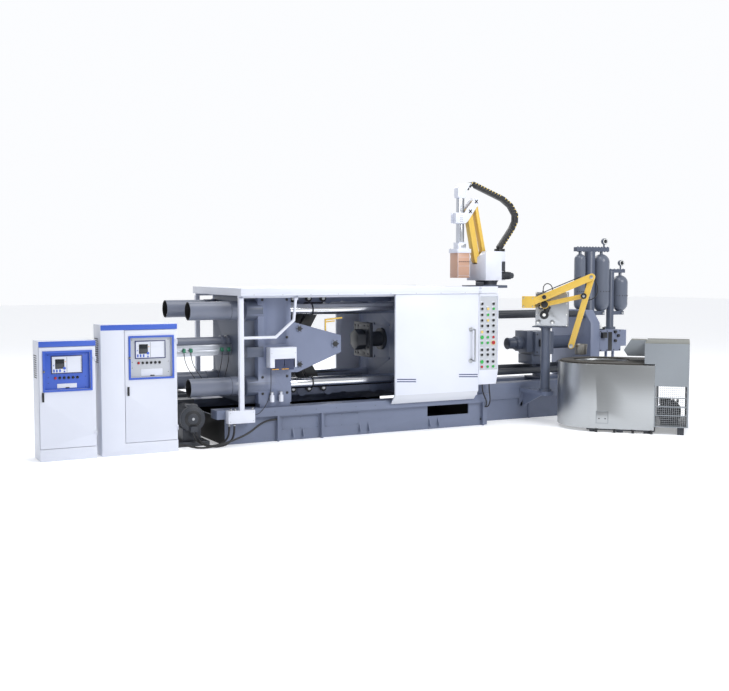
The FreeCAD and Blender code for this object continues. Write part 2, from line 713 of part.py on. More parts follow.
def sprayer():
    """The sprayer: base, turning housing, two arms, the column with its head and box, and the chain."""
    y = S["spray_depth"]
    x = S["spray_turn_at"]
    seat = rod("z", (x, y, BASE_TOP), 150, 12)
    node("sprayer_base", fuse(box((x - 330, FIXED_RIGHT), (y - 170, y + 170), (PLATEN_TOP, 2008)),
                              box((x - 330, x + 255), (y - 170, y + 170), (2008, BASE_TOP)), seat))
    node("sprayer_housing", sprayer_housing(x, y))
    near, far = ARM_NEAR, ARM_FAR
    node("sprayer_arms", apart(band((x - 209, 2420), (x - 351, 3130), 45, near, far),
                               band((x - 82, 2500), (x - 249, 3270), 27, near, far)))
    h = HEAD_AT
    bracket = ((h - 123, 2956), (h + 49, 2956), (h + 87, 2988), (h + 285, 3262), (h + 272, 3325),
               (h + 206, 3328), (h + 25, 3105), (h - 123, 3105))
    clamp = fuse(box((h - 96, h + 54), (near, far), (2950, 3104)),
                 plate("XZ", bracket, near - 20, near), plate("XZ", bracket, far, far + 20))
    half = COLUMN_HALF
    column = ((h - half, h + half), (y - half, y + half), (2675, 3320))
    node("sprayer_column", box(*column))
    cap = ((h - 62, 3320), (h + 62, 3320), (h + 70, 3420), (h + 150, 3545), (h - 10, 3530),
           (h - 72, 3464), (h - 72, 3350))
    flange = fuse(box((h - 69, h + 69), (y - 69, y + 69), (2580, 2675)),
                  box((h - 118, h + 118), (y - 118, y + 118), (2522, 2580)))
    node("sprayer_head", apart(cut(clamp, box(*column)), plate("XZ", cap, y - 55, y + 55), flange))
    node("spray_box", box((h - 105, h + 105), (y - 105, y + 105), (2158, 2522)))
    node("energy_chain", chain(x, y))


def sprayer_housing(x, y):
    """The turning housing on its round foot, slotted for the arms, with the slewing motor."""
    plan = ((x - 146, y - 190), (x + 135, y - 190), (x + 135, y - 70), (x + 285, y - 70),
            (x + 285, y + 190), (x - 230, y + 190), (x - 230, y - 30))
    top = HOUSING_HIGH + 1
    slope = plate("XZ", ((x - 231, 2440), (x - 120, top), (x - 231, top)), y - 191, y + 191)
    slot = box((x - 231, x - 45), (ARM_NEAR, ARM_FAR), (2360, top))
    foot = fuse(rod("z", (x, y, 2060 + S["touch_gap"]), 150, 22),
                rod("z", (x, y, 2080), 150, HOUSING_LOW - 2080, small=175))
    motor = [rod("x", (x + 135, y - 135, 2190), 55, 190), rod("x", (x + 325, y - 135, 2190), 42, 40),
             box((x + 135, x + 215), (y - 165, y - 70), (2262, 2400))]
    body = plate("XY", plan, HOUSING_LOW, HOUSING_HIGH)
    return fuse(cut(body, slope, slot), foot, *motor)


def band(foot, head, half, low, high):
    """A straight link with round ends between two pivots in an upright plane."""
    dx = float(head[0]) - float(foot[0])
    dz = float(head[1]) - float(foot[1])
    length = math.hypot(dx, dz)
    u, w = dx / length * half, dz / length * half
    outline = ((foot[0] - w, foot[1] + u), (head[0] - w, head[1] + u),
               (head[0] + w, head[1] - u), (foot[0] + w, foot[1] - u))
    return fuse(plate("XZ", outline, low, high), rod("y", (foot[0], low, foot[1]), half, high - low),
                rod("y", (head[0], low, head[1]), half, high - low))


def chain(x, y):
    """The energy chain's outer shape: a rounded band of straight runs from the cap to the housing."""
    half = 36
    stops = ((x - 386, 3440), (x - 312, 3518), (x - 262, 3530), (x + 264, 3331), (x + 405, 3234),
             (x + 495, 3101), (x + 493, 3000), (x + 435, 2891), (x + 225, 2615))
    runs = [band(a, b, half, y - 40, y + 40) for a, b in zip(stops, stops[1:])]
    cap = box((x - 440, x - 230), (y - 56, y + 56), (3320, 3546))
    base = box((x + 170, x + 280), (y - 60, y + 60), (HOUSING_HIGH, 2590))
    return fuse(cut(fuse(*runs), cap), base)


# ---------------------------------------------------------------- ladler

LADLE_A = (4257, 1879)
LADLE_D = (4927, 2172)
LADLE_B = (4250, 1770)
LADLE_E = (4818, 1898)
LADLE_TIP = (4642, 1169)


def ladler():
    """The ladler: column, gearbox, parallel arm and link, forearm, and the cup on its wrist."""
    d = S["ladle_depth"]
    gap = S["touch_gap"]
    post = fuse(rod("z", (4253, d + 167, BRACKET_TOP), 70, 1430 - BRACKET_TOP),
                rod("z", (4253, d + 167, BRACKET_TOP), 100, 24),
                box((4060, 4570), (d + 60, d + 300), (1430, 1445)))
    node("ladler_column", post, turned=True)
    gearbox = fuse(rod("y", (4246, d + 25, 1616), 56, 60),
                   box((4190, 4576), (d + 100, d + 280), (1445, 1950)),
                   box((4110, 4576), (d + 85, d + 100), (1445, 1950)),
                   rod("y", (LADLE_A[0], d - 25 + gap, LADLE_A[1]), 30, 100))
    node("ladler_gearbox", gearbox, turned=True)
    weight = box((3935, 4118), (d - 100, d + 40), (1720, 1890))
    arm = fuse(band(LADLE_A, LADLE_D, 50, d - 90, d - 25), weight,
               band((4060, 1800), LADLE_A, 50, d - 85, d - 25),
               rod("y", (LADLE_D[0], d - 25, LADLE_D[1]), 40, 6 - gap))
    node("ladler_arm", arm, turned=True)
    link = fuse(band(LADLE_B, LADLE_E, 34, d + 42, d + 78),
                rod("y", (LADLE_B[0], d + 20, LADLE_B[1]), 62, 22),
                rod("y", (LADLE_B[0], d + 78, LADLE_B[1]), 30, 7 - gap),
                rod("y", (LADLE_E[0], d + 36 + gap, LADLE_E[1]), 30, 8))
    node("ladler_link", link, turned=True)
    node("ladler_forearm", fuse(band(LADLE_D, LADLE_TIP, 42, d - 19, d + 36),
                                rod("y", (LADLE_E[0], d - 45, LADLE_E[1]), 40, 26)), turned=True)
    tip_x, tip_z = LADLE_TIP
    cup_y = d + 140
    cup = fuse(rod("z", (4770, cup_y, 1040), 82, 150, small=95),
               rod("y", (tip_x, d + 36 + gap, tip_z), 40, 30),
               box((tip_x, 4700), (d + 46, d + 66), (1140, 1180)),
               box((4680, 4700), (d + 46, cup_y), (1140, 1180)))
    hollow = rod("z", (4770, cup_y, 1052), 72, 140, small=86)
    node("ladle", cut(cup, hollow), turned=True)


# ---------------------------------------------------------------- furnace

def furnace():
    """The holding furnace: stadium tank with a round bath, tall service box and open blower frame."""
    front, back = 2025, 3265
    middle = (front + back) / 2
    radius = (back - front) / 2
    centre = 5070
    right = 5840
    tank = fuse(box((centre, right), (front, back), (50, 955)), rod("z", (centre, middle, 50), radius, 905))
    bath_radius = 400
    bath = rod("z", (centre, middle + 60, 330), bath_radius, 626)
    hatch = box((5053, 5220), (front - 14, front), (128, 298))
    node("furnace_tank", fuse(cut(tank, bath), hatch), turned=True)
    rim = cut(fuse(box((centre, right - 140), (front + 40, back - 40), (955, 975)),
                   rod("z", (centre, middle, 955), radius - 40, 20)),
              rod("z", (centre, middle + 60, 955), bath_radius, 20))
    crucible = cut(rod("z", (centre, middle + 60, 330), bath_radius - S["touch_gap"], 600),
                   rod("z", (centre, middle + 60, 380), bath_radius - 40, 551))
    node("furnace_crucible", apart(rim, crucible), turned=True)
    box_left, box_right = 5700, 6295
    shell = cut(box((right, box_right), (front, back - 120), (105, 1262)),
                box((right + 12, box_right - 25), (front + 30, back - 132), (118, 672)),
                box((5853, 6270), (front, front + 30), (118, 672)),
                box((5868, 6250), (back - 132, back - 120), (130, 660)))
    cap = box((box_left, right), (front, back - 120), (975, 1262))
    bars = [box((5853, 6270), (front + 4, front + 16), (z, z + 14)) for z in (506, 384, 262)]
    chute = ((5395, 1135), (5450, 1052), (5700, 1052), (5700, 1280), (5490, 1280), (5470, 1250))
    outlet = plate("XZ", chute, front + 420, front + 760)
    node("furnace_box", fuse(shell, cap, outlet, *bars), turned=True)
    blower = fuse(rod("y", (6040, front + 180, 290), 150, 260),
                  box((5920, 6160), (front + 200, front + 420), (118, 300)),
                  box((5900, 6060), (front + 230, front + 380), (400, 470)))
    node("furnace_blower", blower, turned=True)
    base = box((centre - 150, right + 10), (front + 30, back - 60), (28, 50))
    tank_feet = [box((x, x + 90), (y, y + 90), (0, 28))
                 for x in (4960, 5330, 5700) for y in (front + 35, back - 160)]
    box_foot = box((6150, 6240), (front + 40, back - 160), (0, 105))
    node("furnace_base", apart(fuse(base, *tank_feet), box_foot), turned=True)


# ---------------------------------------------------------------- cabinets

def cabinet(name, left, width, high, front, narrow):
    """A floor cabinet: shell, blue header strip, door with a window, and the screen behind it."""
    right = left + width
    back = front + S["cabinet_depth"]
    wall = S["cabinet_wall"]
    plinth = 145
    head = high - 66
    thick = 28
    shell = cut(box((left, right), (front + thick, back), (0, high)),
                box((left + wall, right - wall), (front + thick, back - wall), (plinth, head - 20)))
    pieces = [shell, box((left, right), (front, front + thick), (0, plinth))]
    if narrow > 0:
        pieces.append(box((left, left + narrow), (front, front + thick), (plinth, head)))
    pieces.append(box((left, right), (front - 6, front + thick), (head, high)))
    hinge_x = right - 3
    for place in (plinth + 130, head - 190):
        pieces.append(rod("z", (hinge_x, front - 6, place), 6, 30))
        pieces.append(box((hinge_x - 2, right), (front - 6, front + thick + 4), (place, place + 30)))
    node(f"{name}_cabinet", fuse(*pieces))
    gap = S["run_gap"]
    door_left = left + narrow + gap
    door_right = right - gap
    door_low, door_high = plinth + gap, head - gap
    win_left = door_left + (70 if narrow > 0 else 62)
    win_right = door_right - 62
    win_low, win_high = (950, 1440) if narrow > 0 else (852, 1290)
    door = cut(box((door_left, door_right), (front, front + thick - 6), (door_low, door_high)),
               box((win_left, win_right), (front, front + thick), (win_low, win_high)))
    screen = box((win_left - 20, win_right + 20), (front + thick - 6, front + thick + 20),
                 (win_low - 20, win_high + 20))
    frame = cut(box((win_left - 24, win_right + 24), (front - 12, front), (win_low - 24, win_high + 24)),
                box((win_left, win_right), (front - 12, front), (win_low, win_high)))
    node(f"{name}_window", apart(screen, frame))
    handle_x = door_left + 38
    low = win_low - 24 - (196 if narrow > 0 else 116)
    handle = fuse(box((handle_x - 12, handle_x + 12), (front - 10, front), (low, low + 110)),
                  box((handle_x - 8, handle_x + 8), (front - 26, front - 10), (low + 20, low + 102)))
    knuckles = []
    for place in (plinth + 130, head - 190):
        top = place + 30 + S["touch_gap"]
        knuckles.append(rod("z", (hinge_x, front - 6, top), 6, 30))
        knuckles.append(box((door_right - 24, hinge_x), (front - 8, front), (top, top + 30)))
    node(f"{name}_door", fuse(door, handle, *knuckles))


def cabinets():
    """The two control cabinets beside the closing end."""
    large_left = BED_LEFT - S["flange_over"] - 549 - S["large_width"]
    cabinet("large", large_left, S["large_width"], S["large_high"], -905, 287)
    small_left = large_left - S["cabinet_gap"] - S["small_width"]
    cabinet("small", small_left, S["small_width"], S["small_high"], -928, 0)


# ---------------------------------------------------------------- cables

def cable(name, route, radius):
    """A round cable along straight runs joined by tangent arcs; prints its length and bends."""
    points = [Vector(*(float(value) for value in point)) for point in route]
    edges, bends, start = [], [], points[0]
    for before, corner, after in zip(points, points[1:], points[2:]):
        back, on = before - corner, after - corner
        half_turn = (math.pi - back.getAngle(on)) / 2
        setback = 0.45 * min(back.Length, on.Length)
        bend = setback / math.tan(half_turn)
        bends.append(round(bend))
        enter = corner + back.normalize() * setback
        leave = corner + on.normalize() * setback
        inward = (back + on).normalize()
        middle = corner + inward * (bend / math.cos(half_turn) - bend)
        edges.append(Part.LineSegment(start, enter).toShape())
        edges.append(Part.Arc(enter, middle, leave).toShape())
        start = leave
    edges.append(Part.LineSegment(start, points[-1]).toShape())
    path = Part.Wire(edges)
    ring = Part.Wire(Part.Circle(points[0], points[1] - points[0], radius).toShape())
    solid = path.makePipeShell([ring], True, False)
    share = solid.Volume / (math.pi * radius ** 2 * path.Length)
    print(f"{name}: {path.Length:.0f} long, {2 * radius} thick, bends {bends}, volume share {share:.4f}")
    piece = DOC.addObject("Part::Feature", "Cable")
    piece.Shape = solid
    return piece


def moved(route, x=0, y=0, z=0):
    """A route shifted as a whole."""
    return [(px + x, py + y, pz + z) for px, py, pz in route]


def cables():
    """Every free cable, each from one fitting to another."""
    foot = BED_LEFT
    near = ((35, -870, 265), (35, -870, 165), (-6, -860, 80), (-88, -842, 30), (-182, -815, 14),
            (-276, -785, 26), (-346, -738, 72), (-386, -682, 130), (-386, -682, 190))
    far = ((105, -870, 265), (105, -870, 165), (64, -882, 80), (-14, -892, 30), (-112, -890, 14),
           (-212, -872, 18), (-288, -826, 48), (-330, -760, 92), (-348, -690, 136), (-348, -690, 190))
    node("floor_cables", apart(*[cable("floor cable", moved(route, foot), 13) for route in (near, far)]))
    along = ((742, -768, 296), (650, -768, 296), (530, -810, 276), (425, -862, 238), (325, -912, 186),
             (215, -940, 140), (95, -950, 102), (-35, -952, 66), (-165, -944, 34), (-300, -920, 16),
             (-420, -882, 20), (-510, -842, 46), (-586, -812, 62), (-654, -812, 62))
    node("bed_cable", cable("bed cable", moved(along, foot), 13))
    edge = BED_RIGHT
    first = ((-180, -868, 620), (-180, -868, 545), (-160, -874, 470), (-122, -873, 402),
             (-88, -852, 338), (-68, -808, 290), (-60, -770, 269), (-60, -730, 269))
    second = ((-60, -868, 620), (-60, -868, 545), (-54, -878, 470), (-46, -876, 400),
              (-36, -852, 336), (-27, -808, 290), (-25, -770, 269), (-25, -730, 269))
    node("panel_cables", apart(*[cable("panel cable", moved(route, edge), 9) for route in (first, second)]))
    falls = [cable("sensor cable", ((x, -168, 1178), (x, -168, 1115), (x + way * 16, -184, 1032),
                                    (x + way * 46, -214, 950), (x + way * 84, -254, 884),
                                    (x + way * 106, -290, 838), (x + way * 106, -290, 800)), 4.5)
             for x, way in zip(SENSOR_PLACES, (1, 1, -1, -1))]
    node("sensor_cables", apart(*falls))
    drop = ((-35, -790, 990), (-35, -790, 900), (-38, -802, 800), (-48, -814, 700), (-70, -824, 610),
            (-110, -832, 530), (-165, -844, 454), (-245, -860, 388), (-308, -860, 388))
    node("lubrication_cable", cable("lubrication cable", moved(drop, END_LEFT + 185), 4.5))
    d = S["ladle_depth"]
    over = ((4206, d + 190, 1950), (4206, d + 190, 1990), (4212, d + 186, 2030), (4234, d + 178, 2062),
            (4270, d + 168, 2076), (4308, d + 158, 2064), (4338, d + 150, 2034), (4350, d + 146, 1992),
            (4350, d + 146, 1950))
    node("ladler_cable", cable("ladler cable", over, 7), turned=True)
    elbow = ((4934, d + 36, 2150), (4934, d + 66, 2150), (4968, d + 76, 2106), (4996, d + 80, 2052),
             (5008, d + 82, 1992), (4998, d + 82, 1932), (4968, d + 78, 1880), (4928, d + 70, 1850),
             (4886, d + 66, 1838), (4852, d + 66, 1838), (4852, d + 36, 1838))
    node("ladler_elbow_cable", cable("elbow cable", elbow, 7), turned=True)


# ---------------------------------------------------------------- build

def build():
    """Make every sub-part."""
    beds()
    node("end_platen", fuse(end_platen(), *toggle_cheeks()))
    node("moving_platen", moving_platen())
    node("fixed_platen", fixed_platen())
    node("tie_bars", tie_bars())
    node("tie_bar_sleeves", sleeves())
    node("toggle_long_links", toggle_long_links())
    node("toggle_short_links", toggle_short_links())
    closing_end()
    node("ejector", ejector())
    canopy()
    node("safety_door", safety_door(-1))
    node("rear_safety_door", safety_door(1))
    node("door_handle", door_handle())
    node("control_panel", control_panel())
    small_units()
    pump_unit()
    injection_unit()
    accumulators()
    sprayer()
    ladler()
    furnace()
    cabinets()
    cables()


def check():
    """Stop if any object failed or any sub-part has no sound shape."""
    for thing in DOC.Objects:
        if "Invalid" in thing.State or "Error" in thing.State:
            raise SystemExit(f"{thing.Name} ({thing.Label}) did not build: {thing.State}")
    for label, thing in NODES.items():
        if thing.Shape.isNull() or not thing.Shape.isValid():
            raise SystemExit(f"{label} has no sound shape")


def export():
    """Write one STEP file for each sub-part."""
    os.makedirs("parts", exist_ok=True)
    for label, thing in NODES.items():
        thing.Shape.exportStep(f"parts/{label}.step")
        print(f"{label}: {len(thing.Shape.Solids)} solids, {thing.Shape.Volume / 1e9:.4f} m3")


build()
DOC.recompute()
check()
export()
print(f"{len(NODES)} nodes")
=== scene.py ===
# %% [markdown]
# # A cold-chamber die casting machine
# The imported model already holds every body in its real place, in metres. This script builds
# the looks round it: rounded edges, paints, bolts, buttons and cables. Each step has a few
# words before it on what the real piece is and why it is made in that way.

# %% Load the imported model
import json
import math
from itertools import product

import bmesh
import bpy
from mathutils import Euler, Matrix, Vector


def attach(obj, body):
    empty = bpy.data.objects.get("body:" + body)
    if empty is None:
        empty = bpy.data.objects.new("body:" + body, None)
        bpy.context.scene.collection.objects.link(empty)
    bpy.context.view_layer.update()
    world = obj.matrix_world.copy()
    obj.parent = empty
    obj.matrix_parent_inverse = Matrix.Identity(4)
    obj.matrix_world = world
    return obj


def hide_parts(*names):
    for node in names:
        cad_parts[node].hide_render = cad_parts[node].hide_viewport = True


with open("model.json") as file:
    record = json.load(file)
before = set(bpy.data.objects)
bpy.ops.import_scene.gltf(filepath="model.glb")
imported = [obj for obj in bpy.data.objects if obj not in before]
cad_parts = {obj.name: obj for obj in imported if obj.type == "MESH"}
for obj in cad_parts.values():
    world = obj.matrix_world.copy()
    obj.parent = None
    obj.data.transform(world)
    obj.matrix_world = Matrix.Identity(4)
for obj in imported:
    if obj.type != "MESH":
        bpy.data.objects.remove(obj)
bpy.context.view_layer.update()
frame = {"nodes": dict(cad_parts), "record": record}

# %% [markdown]
# ## The camera
# A long machine is best seen from its operator's side and a little above the guard, with a
# fairly long lens so that the cabinets in front don't look swollen. The camera's place is in
# metres and its turns are in degrees; 90 would look level, so 86 looks slightly down.

# %% Camera
LENS = 52.65
CAMERA_PLACE = (-6.719, -13.770, 2.253)
CAMERA_TILT, CAMERA_TURN = 86.023, -27.320
view_camera = bpy.data.cameras.new("view")
view_camera.lens = LENS
camera = bpy.data.objects.new("view", view_camera)
camera.location = CAMERA_PLACE
camera.rotation_euler = Euler((math.radians(CAMERA_TILT), 0, math.radians(CAMERA_TURN)))
bpy.context.scene.collection.objects.link(camera)
bpy.context.scene.camera = camera
print("camera with a lens of", view_camera.lens, "mm")

# %% [markdown]
# ## Where things stand
# Places are written in millimetres, as on a drawing, from the middle of the bed's underside.
# The ladler and the furnace stand askew: theirs are written square and then turned with
# this matrix about the bed's left end.

# %% Shared places
MM = 0.001
BED_LEFT, BED_RIGHT = -2050, 2050
END_PLATEN_LEFT, SENSOR_START = -1550, -1710
LADLER_TURN = Matrix.Rotation(math.radians(-44), 4, "Z")
LADLER_PLACE = Matrix.Translation((BED_LEFT * MM, 0, 0)) @ LADLER_TURN
LADLER_Y = 2550
print("bed of", BED_RIGHT - BED_LEFT, "mm")

# %% [markdown]
# ## The free cables
# A loose cable has a thick rubber jacket that bends in wide, even curves. It could be a mesh
# tube, but a curve with a round section keeps it editable: a NURBS line runs smoothly near a
# few points, as a stiff jacket does. The section is 1 m and each point scales it down, so
# that the curve's own box stays close to the cable.

# %% A cable along points
cables = []


def cable(name, node, body, points, radius, length, place=Matrix.Identity(4)):
    """One free cable along points, with its radius and length, all in millimetres."""
    line = bpy.data.curves.new(name, "CURVE")
    line.dimensions = "3D"
    line.bevel_depth = 1.0
    line.bevel_resolution = 5
    line.use_fill_caps = True
    spline = line.splines.new("NURBS")
    spline.points.add(len(points) - 1)
    route = [place @ (Vector(point) * MM) for point in points]
    for knot, point in zip(spline.points, route):
        knot.co = (*point, 1)
        knot.radius = radius * MM
    spline.order_u = 3
    spline.use_endpoint_u = True
    spline.resolution_u = 10
    piece = bpy.data.objects.new(name, line)
    bpy.context.scene.collection.objects.link(piece)
    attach(piece, body)
    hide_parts(node)
    cables.append(piece)
    print(f"{name}: {length} mm long, {2 * radius} mm thick")


def shifted(points, x):
    """A route moved along the machine."""
    return [(px + x, py, pz) for px, py, pz in points]


# %% [markdown]
# ## Cables on the floor
# Two supply cables hang from the junction box to the floor and rise to the pump motor. A
# third leaves the bed's side and lies along the floor to the large cabinet. Each route has
# a point for every place where the jacket bends or touches down.

# %% Floor and bed cables
SUPPLY_RADIUS = 13
near = ((35, -870, 265), (35, -870, 165), (-6, -860, 80), (-88, -842, 30), (-182, -815, 14),
        (-276, -785, 26), (-346, -738, 72), (-386, -682, 130), (-386, -682, 190))
far = ((105, -870, 265), (105, -870, 165), (64, -882, 80), (-14, -892, 30), (-112, -890, 14),
       (-212, -872, 18), (-288, -826, 48), (-330, -760, 92), (-348, -690, 136), (-348, -690, 190))
along = ((742, -768, 296), (650, -768, 296), (530, -810, 276), (425, -862, 238), (325, -912, 186),
         (215, -940, 140), (95, -950, 102), (-35, -952, 66), (-165, -944, 34), (-300, -920, 16),
         (-420, -882, 20), (-510, -842, 46), (-586, -812, 62), (-654, -812, 62))
for name, node, route, length in (("floor_cable_near", "floor_cables", near, 726),
                                  ("floor_cable_far", "floor_cables", far, 798),
                                  ("bed_cable_line", "bed_cable", along, 1498)):
    cable(name, node, "machine", shifted(route, BED_LEFT), SUPPLY_RADIUS, length)

# %% [markdown]
# ## Hanging cables
# Thinner cables hang from the operator's panel into the bed, from the four green sensor
# plugs into their tray, and from the lubrication unit to the junction box. Gravity pulls
# the first part of each straight down, and the bend comes near its lower end.

# %% Panel, sensor and lubrication cables
PANEL_RADIUS, THIN_RADIUS = 9, 4.5
panel_left = ((-180, -868, 620), (-180, -868, 545), (-160, -874, 470), (-122, -873, 402),
              (-88, -852, 338), (-68, -808, 290), (-60, -770, 269), (-60, -730, 269))
panel_right = ((-60, -868, 620), (-60, -868, 545), (-54, -878, 470), (-46, -876, 400),
               (-36, -852, 336), (-27, -808, 290), (-25, -770, 269), (-25, -730, 269))
for side, route, length in (("left", panel_left, 455), ("right", panel_right, 436)):
    cable(f"panel_cable_{side}", "panel_cables", "machine", shifted(route, BED_RIGHT),
          PANEL_RADIUS, length)
SENSORS = ((-670, 1), (-575, 1), (-140, -1), (-45, -1))
for number, (start, way) in enumerate(SENSORS, start=1):
    fall = ((0, -168, 1178), (0, -168, 1115), (way * 16, -184, 1032), (way * 46, -214, 950),
            (way * 84, -254, 884), (way * 106, -290, 838), (way * 106, -290, 800))
    cable(f"sensor_cable_{number}", "sensor_cables", "machine",
          shifted(fall, SENSOR_START + start), THIN_RADIUS, 425)
drop = ((-35, -790, 990), (-35, -790, 900), (-38, -802, 800), (-48, -814, 700), (-70, -824, 610),
        (-110, -832, 530), (-165, -844, 454), (-245, -860, 388), (-308, -860, 388))
cable("lubrication_cable_line", "lubrication_cable", "machine",
      shifted(drop, END_PLATEN_LEFT + 185), THIN_RADIUS, 734)

# %% [markdown]
# ## The ladler's cables
# One loops between two glands on the gearbox, and one bows out from the elbow and back to
# the forearm, so each of them starts and ends on the same moving body.

# %% Ladler cables
HOSE_RADIUS = 7
over = ((4206, LADLER_Y + 190, 1950), (4206, LADLER_Y + 190, 1990), (4212, LADLER_Y + 186, 2030),
        (4234, LADLER_Y + 178, 2062), (4270, LADLER_Y + 168, 2076), (4308, LADLER_Y + 158, 2064),
        (4338, LADLER_Y + 150, 2034), (4350, LADLER_Y + 146, 1992), (4350, LADLER_Y + 146, 1950))
elbow = ((4934, LADLER_Y + 36, 2150), (4934, LADLER_Y + 66, 2150), (4968, LADLER_Y + 76, 2106),
         (4996, LADLER_Y + 80, 2052), (5008, LADLER_Y + 82, 1992), (4998, LADLER_Y + 82, 1932),
         (4968, LADLER_Y + 78, 1880), (4928, LADLER_Y + 70, 1850), (4886, LADLER_Y + 66, 1838),
         (4852, LADLER_Y + 66, 1838), (4852, LADLER_Y + 36, 1838))
cable("ladler_cable_line", "ladler_cable", "machine", over, HOSE_RADIUS, 325,
      LADLER_PLACE)
cable("ladler_elbow_line", "ladler_elbow_cable", "ladler_forearm", elbow, HOSE_RADIUS, 475,
      LADLER_PLACE)

# %% [markdown]
# ## Colours and nodes
# Colours are written as sRGB hex, as a paint card gives them, and one function turns them
# to the linear values that the renderer adds up. A second one adds a shader node with its
# settings and links, for the room's light and for every material.

# %% A colour and a node
def paint_card(text, alpha=1.0):
    """An sRGB hex colour as linear RGBA."""
    parts = [int(text[i:i + 2], 16) / 255 for i in (1, 3, 5)]
    return (*[c / 12.92 if c <= 0.04045 else ((c + 0.055) / 1.055) ** 2.4 for c in parts], alpha)


def add(tree, kind, links=None, **settings):
    """Add a shader node; settings name its properties or sockets, links give their sources."""
    made = tree.nodes.new("ShaderNode" + kind)
    for name, value in settings.items():
        if name in made.bl_rna.properties:
            setattr(made, name, value)
        else:
            made.inputs[name.replace("_", " ")].default_value = value
    for socket, source in (links or {}).items():
        tree.links.new(source, made.inputs[socket])
    return made


# %% [markdown]
# ## The room
# A pale seamless floor runs into a white wall of light behind the machine, and the room is
# dimmer on the closing side, so faces turned that way fall into shade. The light's strength
# follows how far a direction points to the bright side, which a dot product measures.

# %% Floor and room light
FLOOR_HALF = 60
floor_bm = bmesh.new()
bmesh.ops.create_grid(floor_bm, x_segments=1, y_segments=1, size=FLOOR_HALF)
floor_mesh = bpy.data.meshes.new("floor")
floor_bm.to_mesh(floor_mesh)
floor_bm.free()
floor = bpy.data.objects.new("floor", floor_mesh)
bpy.context.scene.collection.objects.link(floor)

BRIGHT_SIDE = (0.46, 0.89, 0)
DIM, BRIGHT = 0.42, 1.0
world = bpy.data.worlds.new("studio")
world.use_nodes = True
sky = world.node_tree
seen_way = add(sky, "TexCoord").outputs["Generated"]
toward = add(sky, "VectorMath", {0: seen_way}, operation="DOT_PRODUCT")
toward.inputs[1].default_value = BRIGHT_SIDE
glow = add(sky, "MapRange", {"Value": toward.outputs["Value"]}, From_Min=-0.4, From_Max=0.8,
           To_Min=DIM, To_Max=BRIGHT)
sky.nodes["Background"].inputs["Color"].default_value = (0.97, 0.98, 1.0, 1)
sky.links.new(glow.outputs["Result"], sky.nodes["Background"].inputs["Strength"])
bpy.context.scene.world = world
print("room light from", DIM, "to", BRIGHT)

# %% [markdown]
# ## Soft boxes
# A big soft light from the front right makes long clean highlights along the bars, and two
# weaker ones lift the tops and the rear. The larger a light is, the softer are its shadows.

# %% Three soft boxes
def soft_light(name, spot, aim, size, power):
    """A square soft box at spot that faces aim, its size in metres and its power in watts."""
    lamp = bpy.data.lights.new(name, "AREA")
    lamp.size = size
    lamp.energy = power
    light = bpy.data.objects.new(name, lamp)
    light.location = spot
    light.rotation_euler = (Vector(aim) - Vector(spot)).to_track_quat("-Z", "Y").to_euler()
    bpy.context.scene.collection.objects.link(light)
    print(name, power, "W")


soft_light("key", (4.5, -12, 8.5), (0.5, 0, 1), 6, 1150)
soft_light("top_fill", (-1, -2, 11), (0, 0, 1), 7, 420)
soft_light("rear_rim", (4, 10, 9), (1, 0, 1.2), 6, 350)
bpy.context.scene.view_settings.view_transform = "Standard"

# %% [markdown]
# ## How a material starts
# Every finish begins with the renderer's Principled shader and the place on the object in
# metres, so that a pattern has a real size. A Mix node shows its colour sockets by number.

# %% The start of a material
MIX_A, MIX_B, MIX_OUT = 6, 7, 2


def shader(name, roughness, metallic=0.0, **sockets):
    """A new material with its tree, its shader and the place on the object in metres."""
    made = bpy.data.materials.new(name)
    made.use_nodes = True
    tree = made.node_tree
    skin = tree.nodes["Principled BSDF"]
    skin.inputs["Roughness"].default_value = roughness
    skin.inputs["Metallic"].default_value = metallic
    for socket, value in sockets.items():
        skin.inputs[socket.replace("_", " ")].default_value = value
    place = add(tree, "TexCoord").outputs["Object"]
    return made, tree, skin, place


# %% [markdown]
# ## Machine enamel on castings and plate
# A press shop paints its castings and welded plate with a two-pack enamel. It gives a satin
# skin that follows the sand or mill surface under it, a little darker where the film is
# thin or grease has wiped on. An image could show this, but a noise in real millimetres
# needs no unwrapping: clouds of 450 mm give the tone and finer waves give the relief.

# %% Enamels
CLOUD = 450


def enamel(name, colour, roughness, grain, relief, mottle=0.10):
    """Satin paint: grain is the surface's wave in mm, relief its depth in mm."""
    made, tree, skin, place = shader(name, roughness)
    cloud = add(tree, "TexNoise", {"Vector": place}, Scale=1000 / CLOUD, Detail=5.0, Roughness=0.6)
    shade = add(tree, "MapRange", {"Value": cloud.outputs["Fac"]}, From_Min=0.3, From_Max=0.7)
    tone = add(tree, "Mix", {"Factor": shade.outputs["Result"]}, data_type="RGBA")
    tone.inputs[MIX_A].default_value = (*[c * (1 - mottle) for c in paint_card(colour)[:3]], 1)
    tone.inputs[MIX_B].default_value = paint_card(colour)
    tree.links.new(tone.outputs[MIX_OUT], skin.inputs["Base Color"])
    skim = add(tree, "TexNoise", {"Vector": place}, Scale=1000 / grain, Detail=3.0)
    film = add(tree, "Bump", {"Height": skim.outputs["Fac"]}, Distance=relief * MM, Strength=0.8)
    tree.links.new(film.outputs["Normal"], skin.inputs["Normal"])
    return made


